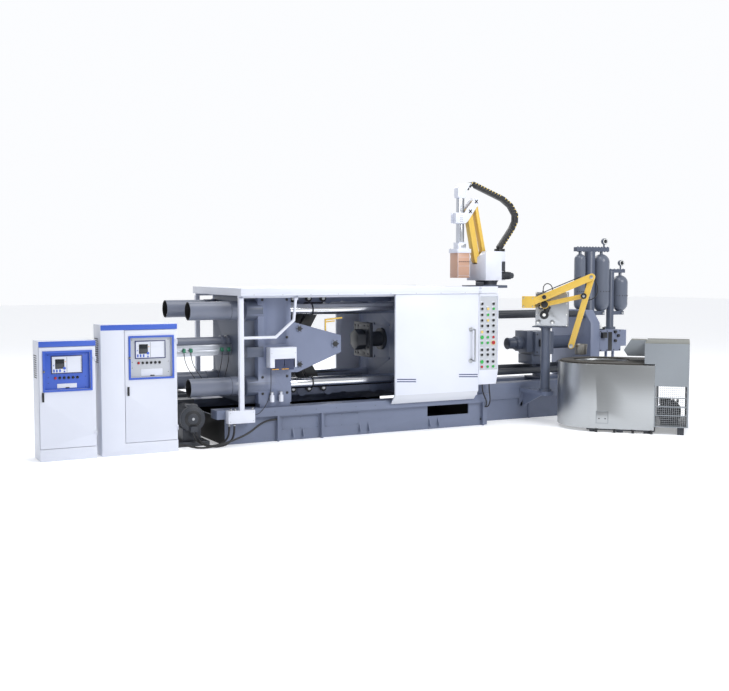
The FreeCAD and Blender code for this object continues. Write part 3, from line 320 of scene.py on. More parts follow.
cast_enamel = enamel("blue_grey_enamel_on_cast_iron", "#737C95", 0.42, 14, 0.7)
plate_enamel = enamel("blue_grey_enamel_on_plate", "#6C758C", 0.40, 30, 0.35)
sleeve_enamel = enamel("grey_enamel_on_tube", "#757B8B", 0.28, 40, 0.25, 0.06)
# The slate enamel is the paint of machined units, and painted shade on the end platen's left face.
slate_enamel_and_painted_shade = enamel("slate_enamel_on_steel_and_painted_shade", "#525A6C", 0.38, 18, 0.4)
# The dark enamel is the paint of dark units, and painted shade in the sprayer housing's slot for
# the arms.
dark_enamel_and_painted_shade = enamel("dark_enamel_on_steel_and_painted_shade", "#33373F", 0.40, 16, 0.4)
bottle_enamel = enamel("grey_enamel_on_drawn_steel", "#626978", 0.30, 25, 0.3, 0.06)
arm_enamel = enamel("signal_yellow_enamel", "#D8B450", 0.34, 25, 0.25, 0.06)
copper_skin = enamel("copper_toned_enamel", "#C39B85", 0.34, 20, 0.4, 0.12)
cast_lining = enamel("graphite_wash_on_lining", "#4A4845", 0.7, 10, 0.8, 0.2)
print(len(bpy.data.materials), "materials")

# %% [markdown]
# ## Powder coat on sheet
# Guards and cabinets are folded sheet with baked powder: an even colour, a soft gloss and a
# faint orange-peel wave about 2 mm across, drawn at 6 mm here so that it shows. It is the
# same film on metal as an enamel, only smoother and more even, so the same function serves.

# %% Powder coats
PEEL, PEEL_DEPTH = 6, 0.06


def powder(name, colour, roughness=0.36):
    """Baked powder paint on sheet steel."""
    return enamel(name, colour, roughness, PEEL, PEEL_DEPTH, 0.03)


white_powder = powder("off_white_powder_coat", "#D6DAE6")
# The light grey is the powder of seams and small trim, and painted shade on the doors' lower lips.
grey_powder_and_painted_shade = powder("light_grey_powder_coat_and_painted_shade", "#C9CCD4")
blue_powder = powder("cabinet_blue_powder_coat", "#3A5DBE")
navy_film = powder("navy_printed_film", "#2C3566", 0.3)
grey_panel = powder("silver_grey_panel_paint", "#B9BDC4", 0.4)
key_face = powder("pale_keypad_film", "#D5D9E4", 0.3)
stainless_grey = powder("grey_hammer_paint", "#858B91", 0.38)
olive_top = powder("olive_grey_paint", "#62655E", 0.42)
print(len(bpy.data.materials), "materials")

# %% [markdown]
# ## Bare metals
# Hard chrome is ground and polished along the bar, so its fine rings run round it. Rolled
# stainless sheet is brushed, and its lines spread a highlight sideways. Each is a metal with
# a long narrow noise: the short side is the spacing of the marks and the long side their
# run. Real marks are a tenth of a millimetre apart, and are drawn at 5 to 12 so they show.

# %% Metals
def metal(name, colour, roughness, marks, relief=0.05, tint=0.10):
    """Bare metal with marks, the size of one in mm along x, y and z."""
    made, tree, skin, place = shader(name, roughness, metallic=1.0)
    run = add(tree, "Mapping", {"Vector": place}, Scale=tuple(1000 / mark for mark in marks))
    lines = add(tree, "TexNoise", {"Vector": run.outputs["Vector"]}, Scale=1.0, Detail=4.0,
                Roughness=0.55)
    tone = add(tree, "Mix", {"Factor": lines.outputs["Fac"]}, data_type="RGBA")
    tone.inputs[MIX_A].default_value = (*[c * (1 - tint) for c in paint_card(colour)[:3]], 1)
    tone.inputs[MIX_B].default_value = paint_card(colour)
    tree.links.new(tone.outputs[MIX_OUT], skin.inputs["Base Color"])
    cut = add(tree, "Bump", {"Height": lines.outputs["Fac"]}, Distance=relief * MM, Strength=0.7)
    tree.links.new(cut.outputs["Normal"], skin.inputs["Normal"])
    return made


hard_chrome = metal("hard_chrome_on_bar", "#E2E4E8", 0.16, (6, 500, 500), 0.03, 0.05)
zinc_plate = metal("zinc_plated_steel", "#B9BCC0", 0.34, (8, 8, 8), 0.08)
anodised = metal("anodised_aluminium_profile", "#C6CAD2", 0.36, (8, 8, 600), 0.05, 0.06)
brushed_stainless = metal("brushed_stainless_sheet", "#B4B7B9", 0.32, (600, 600, 5), 0.04, 0.12)
ladle_iron = metal("coated_ladle_iron", "#9B9994", 0.48, (12, 12, 12), 0.4, 0.2)
print(len(bpy.data.materials), "materials")

# %% [markdown]
# ## Plastics, rubber and black parts
# Moulded nylon and cable jackets are dark but never black: they keep a dull sheen. Push
# buttons are glossy moulded plastic in the usual operator's colours. A mould's texture is a
# fine even grain, so the paint function serves once more with a small wave and faint clouds.

# %% Plastics and black parts
def moulded(name, colour, roughness, grain=4, relief=0.05):
    """Moulded plastic with the tool's fine texture."""
    return enamel(name, colour, roughness, grain, relief, 0.05)


cable_jacket = moulded("rubber_cable_jacket", "#1E1F22", 0.5, 8, 0.1)
chain_nylon = moulded("black_chain_nylon", "#1F2023", 0.42)
# Black oxide is the finish of pins, bolts and black parts, and painted shade in the sprayer
# column's slots.
black_oxide_and_painted_shade = moulded("blackened_steel_and_painted_shade", "#202226", 0.38, 12, 0.2)
# This matt black is the paint of small black parts, and painted shade inside the bed, in the
# sleeves' bores and in the cabinets' louvre slots.
painted_shade_and_black_paint = moulded("matt_black_paint_and_painted_shade", "#0D0E10", 0.7, 20, 0.3)
connector_green = moulded("green_connector_plastic", "#2F8563", 0.35)
button_black = moulded("black_button_plastic", "#17181B", 0.25)
button_green = moulded("green_button_plastic", "#2FA94A", 0.25)
button_red = moulded("red_button_plastic", "#A8242A", 0.25)
button_yellow = moulded("yellow_button_plastic", "#E6C96B", 0.3)
amber_lens = moulded("amber_lens_plastic", "#F0B040", 0.2)
jar_plastic = moulded("dark_blue_reservoir_plastic", "#2A3354", 0.3, 10, 0.1)
dial_face = moulded("white_dial_face", "#F1F2F0", 0.3)
screen_glass, _, screen_skin, _ = shader("dark_screen_glass", 0.08, Coat_Weight=0.5)
screen_skin.inputs["Base Color"].default_value = paint_card("#1E2329")
for line in cables:
    line.data.materials.append(cable_jacket)
print(len(bpy.data.materials), "materials")

# %% [markdown]
# ## Floor paint
# The floor is a matt pale paint. It glows a little of its own, so that its far edge melts
# into the bright wall instead of making a grey band behind the machine.

# %% Floor paint
FLOOR_GLOW = 0.3
floor_skin = enamel("pale_floor_paint", "#F4F6FA", 0.7, 40, 0.1, 0.01)
floor_sockets = floor_skin.node_tree.nodes["Principled BSDF"].inputs
floor_sockets["Emission Color"].default_value = (1, 1, 1, 1)
floor_sockets["Emission Strength"].default_value = FLOOR_GLOW
floor.data.materials.append(floor_skin)
print("floor glows at", FLOOR_GLOW)

# %% [markdown]
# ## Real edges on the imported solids
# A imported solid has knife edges, and a real casting or folded sheet has none: its rounded
# corners catch a thin line of light. A live bevel would stumble over the loose triangles,
# so a merged copy of each node has its flat faces joined and its sharp edges bevelled, and
# stands for the node. Faces of another finish are picked out by where they are.

# %% Finished meshes and softened copies
SMOOTH_BELOW, BEVEL_ABOVE, FLAT_BELOW = 35, 42, 0.5
MERGE = 0.01


def finish_mesh(bm, name, body, skins):
    """Make the object of a finished bmesh, smooth but for its sharp edges, riding on its body."""
    mesh = bpy.data.meshes.new(name)
    bm.to_mesh(mesh)
    bm.free()
    for skin in skins:
        mesh.materials.append(skin)
    mesh.polygons.foreach_set("use_smooth", [True] * len(mesh.polygons))
    mesh.set_sharp_from_angle(angle=math.radians(SMOOTH_BELOW))
    piece = bpy.data.objects.new(name, mesh)
    bpy.context.scene.collection.objects.link(piece)
    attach(piece, body)
    print(f"{name}: {len(mesh.polygons)} faces")
    return piece


BODY_OF = {node: body for body, nodes in frame["record"]["behaviour"]["bodies"].items()
           for node in nodes}


def soften(node, skins, edge, pick=None):
    """Replace a node by a copy with rounded edges; pick(centre, normal) gives a face's skin."""
    bm = bmesh.new()
    bm.from_mesh(frame["nodes"][node].data)
    bmesh.ops.remove_doubles(bm, verts=bm.verts, dist=MERGE * MM)
    bmesh.ops.dissolve_limit(bm, angle_limit=math.radians(FLAT_BELOW), verts=bm.verts,
                             edges=bm.edges)
    for face in bm.faces:
        face.material_index = pick(face.calc_center_median() / MM, face.normal) if pick else 0
    crisp = [e for e in bm.edges
             if e.is_manifold and e.calc_face_angle() > math.radians(BEVEL_ABOVE)]
    bmesh.ops.bevel(bm, geom=crisp, offset=edge * MM, offset_type="OFFSET", segments=2,
                    profile=0.5, affect="EDGES", clamp_overlap=True, material=-1)
    piece = finish_mesh(bm, node + "_finished", BODY_OF[node], skins)
    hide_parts(node)


# %% [markdown]
# ## Beds, platens and bars
# The beds are welded plate with small radii, and the platens are castings with larger ones.
# The bars are chromed between the platens and blackened at their nuts and stop rings, so a
# face's distance from the nearest bar's axis tells which finish it has.

# %% Beds and clamp
BAR_SIDES, BAR_HEIGHTS = (-500, 500), (739, 1739)
BAR_SKIN, SLEEVE_BORE = 78, 109.5
NUT_START, SCREWED_END = 140, 2031


def bar_distance(centre):
    """How far a point is from the nearest tie bar's axis, in mm."""
    return min(math.hypot(centre.y - y, centre.z - z) for y in BAR_SIDES for z in BAR_HEIGHTS)


# Faces inside the bed, between its sides and low down, are painted black as painted shade.
soften("main_bed", [plate_enamel, painted_shade_and_black_paint], 3, lambda c, n: int(abs(c.y) < 711 and c.z < 340))
soften("injection_bed", [plate_enamel], 3)
# The end platen's left faces, away from its nuts, get the darker slate enamel as painted shade.
soften("end_platen", [cast_enamel, slate_enamel_and_painted_shade], 6,
       lambda c, n: int(c.x < END_PLATEN_LEFT - 5 and bar_distance(c) > NUT_START))
soften("moving_platen", [cast_enamel], 6)
soften("fixed_platen", [cast_enamel], 6)
soften("tie_bars", [hard_chrome, black_oxide_and_painted_shade], 3,
       lambda c, n: int(bar_distance(c) > BAR_SKIN or c.x > SCREWED_END))
# The sleeves' bores round the bars are painted black as painted shade.
soften("tie_bar_sleeves", [sleeve_enamel, painted_shade_and_black_paint], 3,
       lambda c, n: int(bar_distance(c) < SLEEVE_BORE))
soften("toggle_long_links", [cast_enamel], 4)
soften("toggle_short_links", [black_oxide_and_painted_shade], 2)
soften("closing_cylinder", [sleeve_enamel], 4)
soften("sensor_rail", [anodised], 1)
soften("sensor_connectors", [connector_green], 4)
soften("ejector", [dark_enamel_and_painted_shade], 3)

# %% [markdown]
# ## Guards and small units
# Folded sheet has a radius of 2 or 3 mm. The doors' lower lips are tilted, and their downward
# faces are painted a little greyer as painted shade. The panel's sunk field is silver. Jars and
# glands are told by their height.

# %% Guards and small units
DOOR_LIP, PANEL_FIELD = 538, (-939, -937)
JAR_DEPTH, JAR_HEIGHT = (-852, -731.5), (950, 1104)
GLAND_TOP, GLAND_FOOT = 462, 294
soften("canopy", [white_powder], 2)
soften("canopy_posts", [white_powder], 3)
# Faces of the lower lips that turn down get the greyer powder as painted shade.
for door in ("safety_door", "rear_safety_door"):
    soften(door, [white_powder, grey_powder_and_painted_shade], 3, lambda c, n: int(c.z < DOOR_LIP and n.z < -0.2))
soften("door_handle", [zinc_plate], 2)
soften("control_panel", [white_powder, grey_panel], 3,
       lambda c, n: int(PANEL_FIELD[0] < c.y < PANEL_FIELD[1] and n.y < -0.9))
soften("junction_box", [white_powder, zinc_plate], 3,
       lambda c, n: int(c.z > GLAND_TOP or c.z < GLAND_FOOT))
soften("lubrication_unit", [white_powder, jar_plastic], 3,
       lambda c, n: int(JAR_DEPTH[0] < c.y < JAR_DEPTH[1] and JAR_HEIGHT[0] < c.z < JAR_HEIGHT[1]))
soften("pump_motor", [dark_enamel_and_painted_shade], 4)
soften("oil_tank", [dark_enamel_and_painted_shade], 4)

# %% [markdown]
# ## Injection side and sprayer
# Machined steel blocks get a slate paint and drawn bottles a smoother grey. The sprayer's
# housing is white, but its round foot and its motor are dark, and its slot for the arms is
# painted dark as painted shade.

# %% Injection side and sprayer
FOOT_TOP, MOTOR_LEFT, MOTOR_FRONT = 2119, 2351, -521
ARM_SLOT_RIGHT, ARM_SLOT = 2250, (-509, -411)
soften("injection_bars", [dark_enamel_and_painted_shade], 3)
soften("injection_plate", [cast_enamel], 6)
soften("injection_cylinder", [slate_enamel_and_painted_shade], 5)
soften("hydraulic_block", [cast_enamel], 5)
soften("accumulator_bottles", [bottle_enamel], 3)
soften("accumulator_cylinders", [slate_enamel_and_painted_shade], 3)
soften("sprayer_base", [slate_enamel_and_painted_shade], 4)
# The housing's slot for the arms gets the dark enamel as painted shade; its foot and motor are dark
# paint.
soften("sprayer_housing", [white_powder, dark_enamel_and_painted_shade], 5,
       lambda c, n: int(c.z < FOOT_TOP or (c.x > MOTOR_LEFT and c.y < MOTOR_FRONT)
                        or (c.x < ARM_SLOT_RIGHT and ARM_SLOT[0] < c.y < ARM_SLOT[1])))
soften("sprayer_arms", [arm_enamel], 3)
soften("sprayer_column", [anodised], 2)
soften("sprayer_head", [white_powder], 3)
soften("spray_box", [copper_skin], 3)
soften("energy_chain", [chain_nylon], 3)

# %% [markdown]
# ## Ladler and furnace
# The furnace's tank is bare brushed stainless round a dark lining, and only its rim shows
# the lining. The box beside it is grey, with an olive top.

# %% Ladler and furnace
RIM, BOX_TOP = 954, 1258
soften("ladler_column", [slate_enamel_and_painted_shade], 4)
soften("ladler_gearbox", [zinc_plate], 4)
soften("ladler_arm", [arm_enamel], 4)
soften("ladler_link", [arm_enamel], 3)
soften("ladler_forearm", [arm_enamel], 4)
soften("ladle", [ladle_iron], 2)
soften("furnace_tank", [brushed_stainless, cast_lining], 4, lambda c, n: int(c.z > RIM))
soften("furnace_crucible", [cast_lining], 3)
soften("furnace_box", [stainless_grey, olive_top], 3, lambda c, n: int(c.z > BOX_TOP))
soften("furnace_blower", [black_oxide_and_painted_shade], 4)
soften("furnace_base", [dark_enamel_and_painted_shade], 3)

# %% [markdown]
# ## Cabinets
# Both cabinets are one design in two sizes, so one loop serves them: the front's head is
# blue, the lock side of the door has a black strip, and the window's frame is blue.

# %% Cabinets
for size, front, head, lock_right in (("large", -905, 1539, -3300), ("small", -928, 1363, -4320)):
    soften(f"{size}_cabinet", [white_powder, blue_powder], 2,
           lambda c, n: int(c.z > head and c.y < -880 and n.y < -0.5))
    soften(f"{size}_door", [white_powder, black_oxide_and_painted_shade], 2,
           lambda c, n: int(c.x < lock_right and c.y < front - 0.5))
    soften(f"{size}_window", [grey_panel, blue_powder], 1.5, lambda c, n: int(c.y < -895))

# %% [markdown]
# ## Small parts
# Bolts, buttons, plates and wires are added on the softened solids. Each could be its own
# object, but a row of bolts is easier to handle as one: each function adds one form to a
# bmesh in millimetres, and the whole set is brought to metres and finished together.

# %% Plates, discs and bolts
AXES = {"x": Vector((1, 0, 0)), "y": Vector((0, 1, 0)), "z": Vector((0, 0, 1))}
ROUND_ABOVE, SMALLEST_EDGE, EDGE_SHARE = 0.6, 0.2, 0.3


def dress(bm, verts, skin, edge):
    """Give a new form its skin and round its edges."""
    faces = list(dict.fromkeys(face for vert in verts for face in vert.link_faces))
    for face in faces:
        face.material_index = skin
    edges = dict.fromkeys(e for face in faces for e in face.edges)
    edges = [e for e in edges if e.calc_face_angle() > ROUND_ABOVE]
    if edge > SMALLEST_EDGE:
        bmesh.ops.bevel(bm, geom=edges, offset=edge, offset_type="OFFSET", segments=2,
                        profile=0.5, affect="EDGES", clamp_overlap=True, material=-1)


def slab(bm, x, y, z, skin=0, edge=1.5):
    """A plate between two values on each axis, with rounded edges."""
    sizes = Vector((x[1] - x[0], y[1] - y[0], z[1] - z[0]))
    middle = Vector((x[0] + x[1], y[0] + y[1], z[0] + z[1])) / 2
    made = bmesh.ops.create_cube(bm, size=1.0, matrix=Matrix.LocRotScale(middle, None, sizes))
    dress(bm, made["verts"], skin, min(edge, EDGE_SHARE * min(sizes)))


def disc(bm, centre, way, radius, height, skin=0, sides=24, edge=1.5, far=None):
    """A round or many-sided button, boss or bolt head that stands on centre along way."""
    ahead = AXES[way[-1]] * (-1 if way[0] == "-" else 1)
    turn = ahead.to_track_quat("Z", "Y")
    place = Matrix.LocRotScale(Vector(centre) + ahead * height / 2, turn, None)
    made = bmesh.ops.create_cone(bm, cap_ends=True, segments=sides, radius1=radius,
                                 radius2=radius if far is None else far, depth=height, matrix=place)
    dress(bm, made["verts"], skin, min(edge, EDGE_SHARE * height, EDGE_SHARE * radius))


def bolt(bm, centre, way, radius, skin=0):
    """A hexagon head on its washer."""
    disc(bm, centre, way, radius * 1.25, radius * 0.2, skin, 20, 0.5)
    disc(bm, centre, way, radius, radius * 0.8, skin, 6, radius * 0.1)


def ring(count, radius, first=0):
    """Even places round a circle, from the angle first in degrees."""
    for number in range(count):
        angle = math.radians(360 / count * number + first)
        yield radius * math.cos(angle), radius * math.sin(angle)


# %% Wires and pipes, and a finished set
def rail(bm, start, end, radius, skin=0, sides=12):
    """A straight round wire or pipe with rounded ends."""
    start, end = Vector(start), Vector(end)
    run = end - start
    place = Matrix.LocRotScale((start + end) / 2, run.to_track_quat("Z", "Y"), None)
    made = bmesh.ops.create_cone(bm, cap_ends=True, segments=sides, radius1=radius, radius2=radius,
                                 depth=run.length, matrix=place)
    dress(bm, made["verts"], skin, 0.25 * radius)


def pipe(bm, points, radius, skin=0):
    """A pipe of straight runs with a round elbow at each corner."""
    for start, end in zip(points, points[1:]):
        rail(bm, start, end, radius, skin)
    for corner in points[1:-1]:
        made = bmesh.ops.create_uvsphere(bm, u_segments=12, v_segments=8, radius=radius * 1.04,
                                         matrix=Matrix.Translation(corner))
        dress(bm, made["verts"], skin, 0)


def fit(bm, name, body, skins, turned=False):
    """Bring a set of small parts from millimetres to its place and finish it."""
    bmesh.ops.scale(bm, vec=(MM, MM, MM), verts=bm.verts)
    if turned:
        bmesh.ops.transform(bm, matrix=LADLER_PLACE, verts=bm.verts)
    finish_mesh(bm, name, body, skins)


# %% [markdown]
# ## The cabinets' faces
# Behind each cabinet's window is a silver panel with a keypad: a navy border, a pale film,
# a dark screen over blue keys, and below it a red stop button and five black switches. Both
# sizes share one layout, so places on the pad are shares of its width and height.

# %% Cabinet panels
def cabinet_face(size, face, pad, row, low_plate):
    """The keypad, switches, plate and screws on the panel, whose face is at that depth."""
    (x0, x1), (z0, z1) = pad
    wide, high = x1 - x0, z1 - z0
    bm = bmesh.new()
    slab(bm, (x0, x1), (face - 7, face), (z0, z1), 0, 3)
    slab(bm, (x0 + 13, x1 - 13), (face - 9, face - 7), (z0 + 13, z1 - 13), 1, 1)
    for share in (0.50, 0.95):
        x = x0 + share * wide
        slab(bm, (x - 1.5, x + 1.5), (face - 10, face - 9), (z0 + 20, z1 - 20), 5, 0)
    left, right = x0 + 0.15 * wide, x0 + 0.40 * wide
    slab(bm, (left - 7, right + 7), (face - 11, face - 9),
         (z1 - 0.72 * high, z1 - 0.20 * high), 5, 1)
    slab(bm, (left, right), (face - 12, face - 11), (z1 - 0.68 * high, z1 - 0.25 * high), 2, 0.5)
    for share in (0.09, 0.18, 0.28):
        x = x0 + share * wide
        slab(bm, (x - 9, x + 9), (face - 12, face - 9),
             (z0 + 0.09 * high, z0 + 0.25 * high), 3, 1.5)
    for across, up, radius, skin in ((0.42, 0.30, 17, 3), (0.42, 0.12, 10, 3), (0.45, 0.66, 6, 4),
                                     (0.08, 0.46, 6, 3)):
        disc(bm, (x0 + across * wide, face - 9, z0 + up * high), "-y", radius, 4, skin)
    left, right, z = row
    for number in range(6):
        x = left + (right - left) * number / 5
        disc(bm, (x, face, z), "-y", 17, 5, 5)
        if number == 0:
            disc(bm, (x, face - 5, z), "-y", 13, 14, 6, far=15)
        else:
            slab(bm, (x - 9, x + 9), (face - 18, face - 5), (z - 15, z + 15), 7, 3)
    (p0, p1), (q0, q1) = low_plate
    slab(bm, (p0, p1), (face - 3, face), (q0, q1), 1, 1)
    slab(bm, (p0 + 0.42 * (p1 - p0), p0 + 0.62 * (p1 - p0)), (face - 6, face - 3),
         (q0 - 4, q0 + 8), 7, 1)
    for x, lowest in ((x0 - 34, z - 60), (x1 + 34, z - 120)):
        for height in (z1 + 8, z0 - 40, lowest):
            disc(bm, (x, face, height), "-y", 5, 3, 5, 6)
    fit(bm, f"{size}_cabinet_keypad", f"{size}_door",
        [navy_film, key_face, screen_glass, blue_powder, amber_lens, painted_shade_and_black_paint, button_red,
         button_black])


cabinet_face("large", -883, ((-3236, -2849), (1179, 1403)), (-3191, -2926, 1128),
             ((-3160, -2890), (968, 1052)))
cabinet_face("small", -906, ((-4249, -3879), (1039, 1257)), (-4200, -3940, 990),
             ((-4180, -3950), (868, 920)))

# %% [markdown]
# ## Louvres and locks
# Air leaves a cabinet through a stack of slots in its side, each under a small pressed hood.
# The slots are thin plates painted black as painted shade under the hoods, which read as
# openings without a cut. The window's lock is a black handle with a key barrel.

# %% Cabinet louvres and window locks
LOUVRE_STEP = 26


def cabinet_trim(size, left, front, slots, lock, door_x, hood):
    """The louvres in the cabinet's side, with hoods that deep, and the window's lock."""
    bm = bmesh.new()
    low, count = slots
    for number in range(count):
        z = low + LOUVRE_STEP * number
        # The thin plate in each slot is painted black as painted shade.
        slab(bm, (left - 0.6, left), (front + 126, front + 313), (z, z + 12), 1, 0)
        slab(bm, (left - hood, left), (front + 124, front + 315), (z + 12, z + 17), 0, 0.4)
    fit(bm, f"{size}_cabinet_louvres", "machine", [white_powder, painted_shade_and_black_paint])
    bm = bmesh.new()
    x, z = lock
    slab(bm, (x - 11, x + 11), (front - 22, front - 12), (z - 15, z + 15), 0, 3)
    disc(bm, (x, front - 22, z), "-y", 7, 4, 1)
    slab(bm, door_x, (front - 15, front - 12), (z + 0.45, z + 1.2), 0, 0)
    fit(bm, f"{size}_window_lock", f"{size}_door", [black_oxide_and_painted_shade, zinc_plate])


cabinet_trim("large", -3658, -905, (1140, 12), (-3308, 1195), (-3319, -3305), 6)
cabinet_trim("small", -4394, -928, (985, 11), (-4338, 1072), (-4349, -4335), 0.9)

# %% [markdown]
# ## The operator's panel
# Three columns of push buttons have the colours of their duties. The largest are the start
# buttons and the stop button on its yellow ring. Each has a metal collar and a label bar.
# A letter for each button keeps the table short: black, green, red, yellow, and capitals
# for a large green one and for the stop button.

# %% Push buttons
COLUMNS = (1808, 1908, 2004)
BUTTON_ROWS = ((1787, "k-k"), (1715, "kyg"), (1629, "kgk"), (1549, "kyk"), (1470, "kkk"),
               (1384, "ykk"), (1305, "Ggr"), (1225, "ggS"), (1125, "kkk"), (1053, "kkk"),
               (952, "Gkk"), (880, "rgg"))
BUTTON_SKIN = {"k": 0, "g": 1, "G": 1, "r": 2, "S": 2, "y": 3}
PANEL_FACE = -938
bm = bmesh.new()
for z, colours in BUTTON_ROWS:
    for x, colour in zip(COLUMNS, colours):
        if colour == "-":
            continue
        radius = 30 if colour in "GS" else 22
        if colour == "S":
            disc(bm, (x, PANEL_FACE, z), "-y", 40, 4, 3, 32)
        disc(bm, (x, PANEL_FACE, z), "-y", radius + 4, 6, 4, 32)
        disc(bm, (x, PANEL_FACE - 6, z), "-y", radius - 3, 12, BUTTON_SKIN[colour], 32, 3)
        slab(bm, (x - 26, x + 26), (PANEL_FACE - 1.5, PANEL_FACE),
             (z + radius + 7, z + radius + 17), 5, 0)
for x, z in product((1780, 2064), (846, 1110, 1370, 1630, 1882)):
    disc(bm, (x, PANEL_FACE, z), "-y", 6, 4, 4, 6)
fit(bm, "panel_push_buttons", "machine",
    [button_black, button_green, button_red, button_yellow, zinc_plate, key_face])

# %% [markdown]
# ## The guard door and canopy
# Two pairs of thin navy lines are printed across the door and lean a little, so each is a
# thin plate from a slanted quad that is extruded. The canopy's fascia is two sheets that
# meet in a bolted joint, and the operator's handle stands on screwed feet.

# %% Door lines, canopy joint and handle screws
STRIPES = ((409, 712, 770, 756), (1419, 1736, 794, 780))
STRIPE_HEIGHT, STRIPE_STEP, DOOR_FACE, STRIPE_FACE = 13, 32, -950, -951.2
FASCIA = -970
bm = bmesh.new()
for (left, right, high, low), drop in product(STRIPES, (0, STRIPE_STEP)):
    corners = [(left, high - drop), (right, low - drop), (right, low - STRIPE_HEIGHT - drop),
               (left, high - STRIPE_HEIGHT - drop)]
    flat = bm.faces.new([bm.verts.new((x, DOOR_FACE, z)) for x, z in corners])
    raised = bmesh.ops.extrude_face_region(bm, geom=[flat])["geom"]
    bmesh.ops.translate(bm, vec=(0, STRIPE_FACE - DOOR_FACE, 0),
                        verts=[part for part in raised if isinstance(part, bmesh.types.BMVert)])
bmesh.ops.recalc_face_normals(bm, faces=bm.faces)
fit(bm, "door_stripes", "front_door", [navy_film])

bm = bmesh.new()
for x in (1748, 1772):
    slab(bm, (x - 9, x + 9), (FASCIA - 5, FASCIA), (1945, 2032), 0, 2)
    for z in (1962, 2014):
        bolt(bm, (x, FASCIA - 5, z), "-y", 6, 1)
slab(bm, (1758.5, 1761.5), (FASCIA - 1, FASCIA + 0.5), (1939, 2038), 2, 0)
for x in range(-1700, 1700, 400):
    disc(bm, (x, FASCIA, 1952), "-y", 7, 3, 1, 16)
slab(bm, (-1877, 1748), (FASCIA - 1.5, FASCIA), (1968, 1970), 2, 0)
fit(bm, "canopy_joint", "machine", [white_powder, zinc_plate, grey_powder_and_painted_shade])

bm = bmesh.new()
for x, z in product((1604, 1622), (958, 994, 1408, 1444)):
    disc(bm, (x, DOOR_FACE - 10, z), "-y", 4, 3, 0, 6)
fit(bm, "handle_screws", "front_door", [black_oxide_and_painted_shade])

# %% [markdown]
# ## The clamp
# The cheeks over the toggle carry their pins in bolted bosses, and the end platen's nuts
# have a circle of bolts each. Short pins and pipes show between the bars. Discs, rails and
# rings of bolts on the plates' faces are enough, because the castings carry the shape.

# %% Clamp bosses and bolts
CHEEK, BOSS = -720, -730
NUT_FACE, PLATEN_FACE, NUT_RING = -1870, 680, 112
bm = bmesh.new()
for x, z, radius in ((-430, 1270, 62), (-960, 1490, 50), (-960, 1010, 50)):
    disc(bm, (x, CHEEK, z), "-y", radius, 10, 0, 36, 3)
    disc(bm, (x, BOSS, z), "-y", radius * 0.62, 8, 1, 32, 2)
    for across, up in ring(6, 0.8 * radius):
        bolt(bm, (x + across, BOSS, z + up), "-y", 6, 1)
for z, x in product((640, 860, 1380, 1880), (-1490, -1140)):
    bolt(bm, (x, CHEEK, z), "-y", 15, 1)
for high in BAR_HEIGHTS:
    for across, up in ring(8, NUT_RING, 22):
        for y in BAR_SIDES:
            bolt(bm, (NUT_FACE, y + across, high + up), "-x", 7, 1)
for z, y in product((560, 1900), (-660, -560, 560, 660)):
    bolt(bm, (PLATEN_FACE, y, z), "-x", 15, 1)
fit(bm, "clamp_bosses_and_bolts", "machine", [cast_enamel, black_oxide_and_painted_shade])

# %% Toggle pins and guard bar
PIN_FACE, GUARD_Y = -290, -690
bm = bmesh.new()
for z in (1100, 1160, 1345, 1400):
    rail(bm, (-1080, -320, z + 60), (-700, -320, z), 26, 0, 16)
for x, z in product((-880, -640, -420), (630, 1879)):
    disc(bm, (x, PIN_FACE, z), "-y", 46, 40, 0, 28, 3)
    disc(bm, (x, PIN_FACE - 40, z), "-y", 22, 8, 1, 24, 2)
fit(bm, "toggle_pins", "machine", [black_oxide_and_painted_shade, zinc_plate])

bm = bmesh.new()
pipe(bm, [(-560, GUARD_Y, 1440), (-560, GUARD_Y, 1600), (-310, GUARD_Y, 1622)], 12)
rail(bm, (-560, GUARD_Y, 1568), (-420, GUARD_Y, 1580), 9)
disc(bm, (-560, GUARD_Y, 1440), "z", 24, 8)
fit(bm, "toggle_guard_bar", "machine", [arm_enamel])

# %% [markdown]
# ## Bed and small units
# The bed's side has two riveted covers and a drain plug. The junction box and lubrication
# unit have screwed lids, hexagon glands, jar necks and level windows. The pump motor is
# cooled by ribs round its body, which are thin discs here, one behind the other.

# %% Bed covers
WEB, FLANGE = -730, -800
bm = bmesh.new()
for left, right in ((-1221, -693), (-588, -84)):
    slab(bm, (left, right), (WEB - 3, WEB), (140, 312), 0, 1)
    for x, z in product((left + 14, (left + right) / 2, right - 14), (154, 298)):
        disc(bm, (x, WEB - 3, z), "-y", 6, 3, 1, 16)
disc(bm, (1936, WEB, 89), "-y", 15, 14, 2, 24, 3)
for x in range(-1950, 2000, 300):
    disc(bm, (x, FLANGE, 403), "-y", 7, 3, 1, 16)
fit(bm, "bed_covers", "machine", [plate_enamel, slate_enamel_and_painted_shade, black_oxide_and_painted_shade])

# %% Junction box, lubrication unit and pump motor
BOX_LID, JAR_FACE, LUBE_FACE = -910, -850, -860
bm = bmesh.new()
slab(bm, (-2024, -1685), (BOX_LID - 3, BOX_LID), (308, 448), 0, 1)
for x, z in product((-2010, -1699), (322, 434)):
    disc(bm, (x, BOX_LID - 3, z), "-y", 6, 3, 1, 16)
for x in (-1996, -1936, -1696):
    disc(bm, (x, -880, 488), "z", 8, 12, 2, 6)
for x in (-2015, -1945):
    disc(bm, (x, -870, 276), "z", 21, 14, 2, 6)
for x in (-1423, -1283):
    disc(bm, (x + 62, JAR_FACE, 1000), "-y", 20, 5, 3, 24)
    slab(bm, (x + 12, x + 112), (JAR_FACE - 3, JAR_FACE), (966, 974), 4, 0.6)
slab(bm, (-1425, -1070), (LUBE_FACE - 3, LUBE_FACE), (1120, 1240), 0, 1)
for x in (-1415, -1080):
    disc(bm, (x, LUBE_FACE - 3, 1180), "-y", 6, 3, 1, 16)
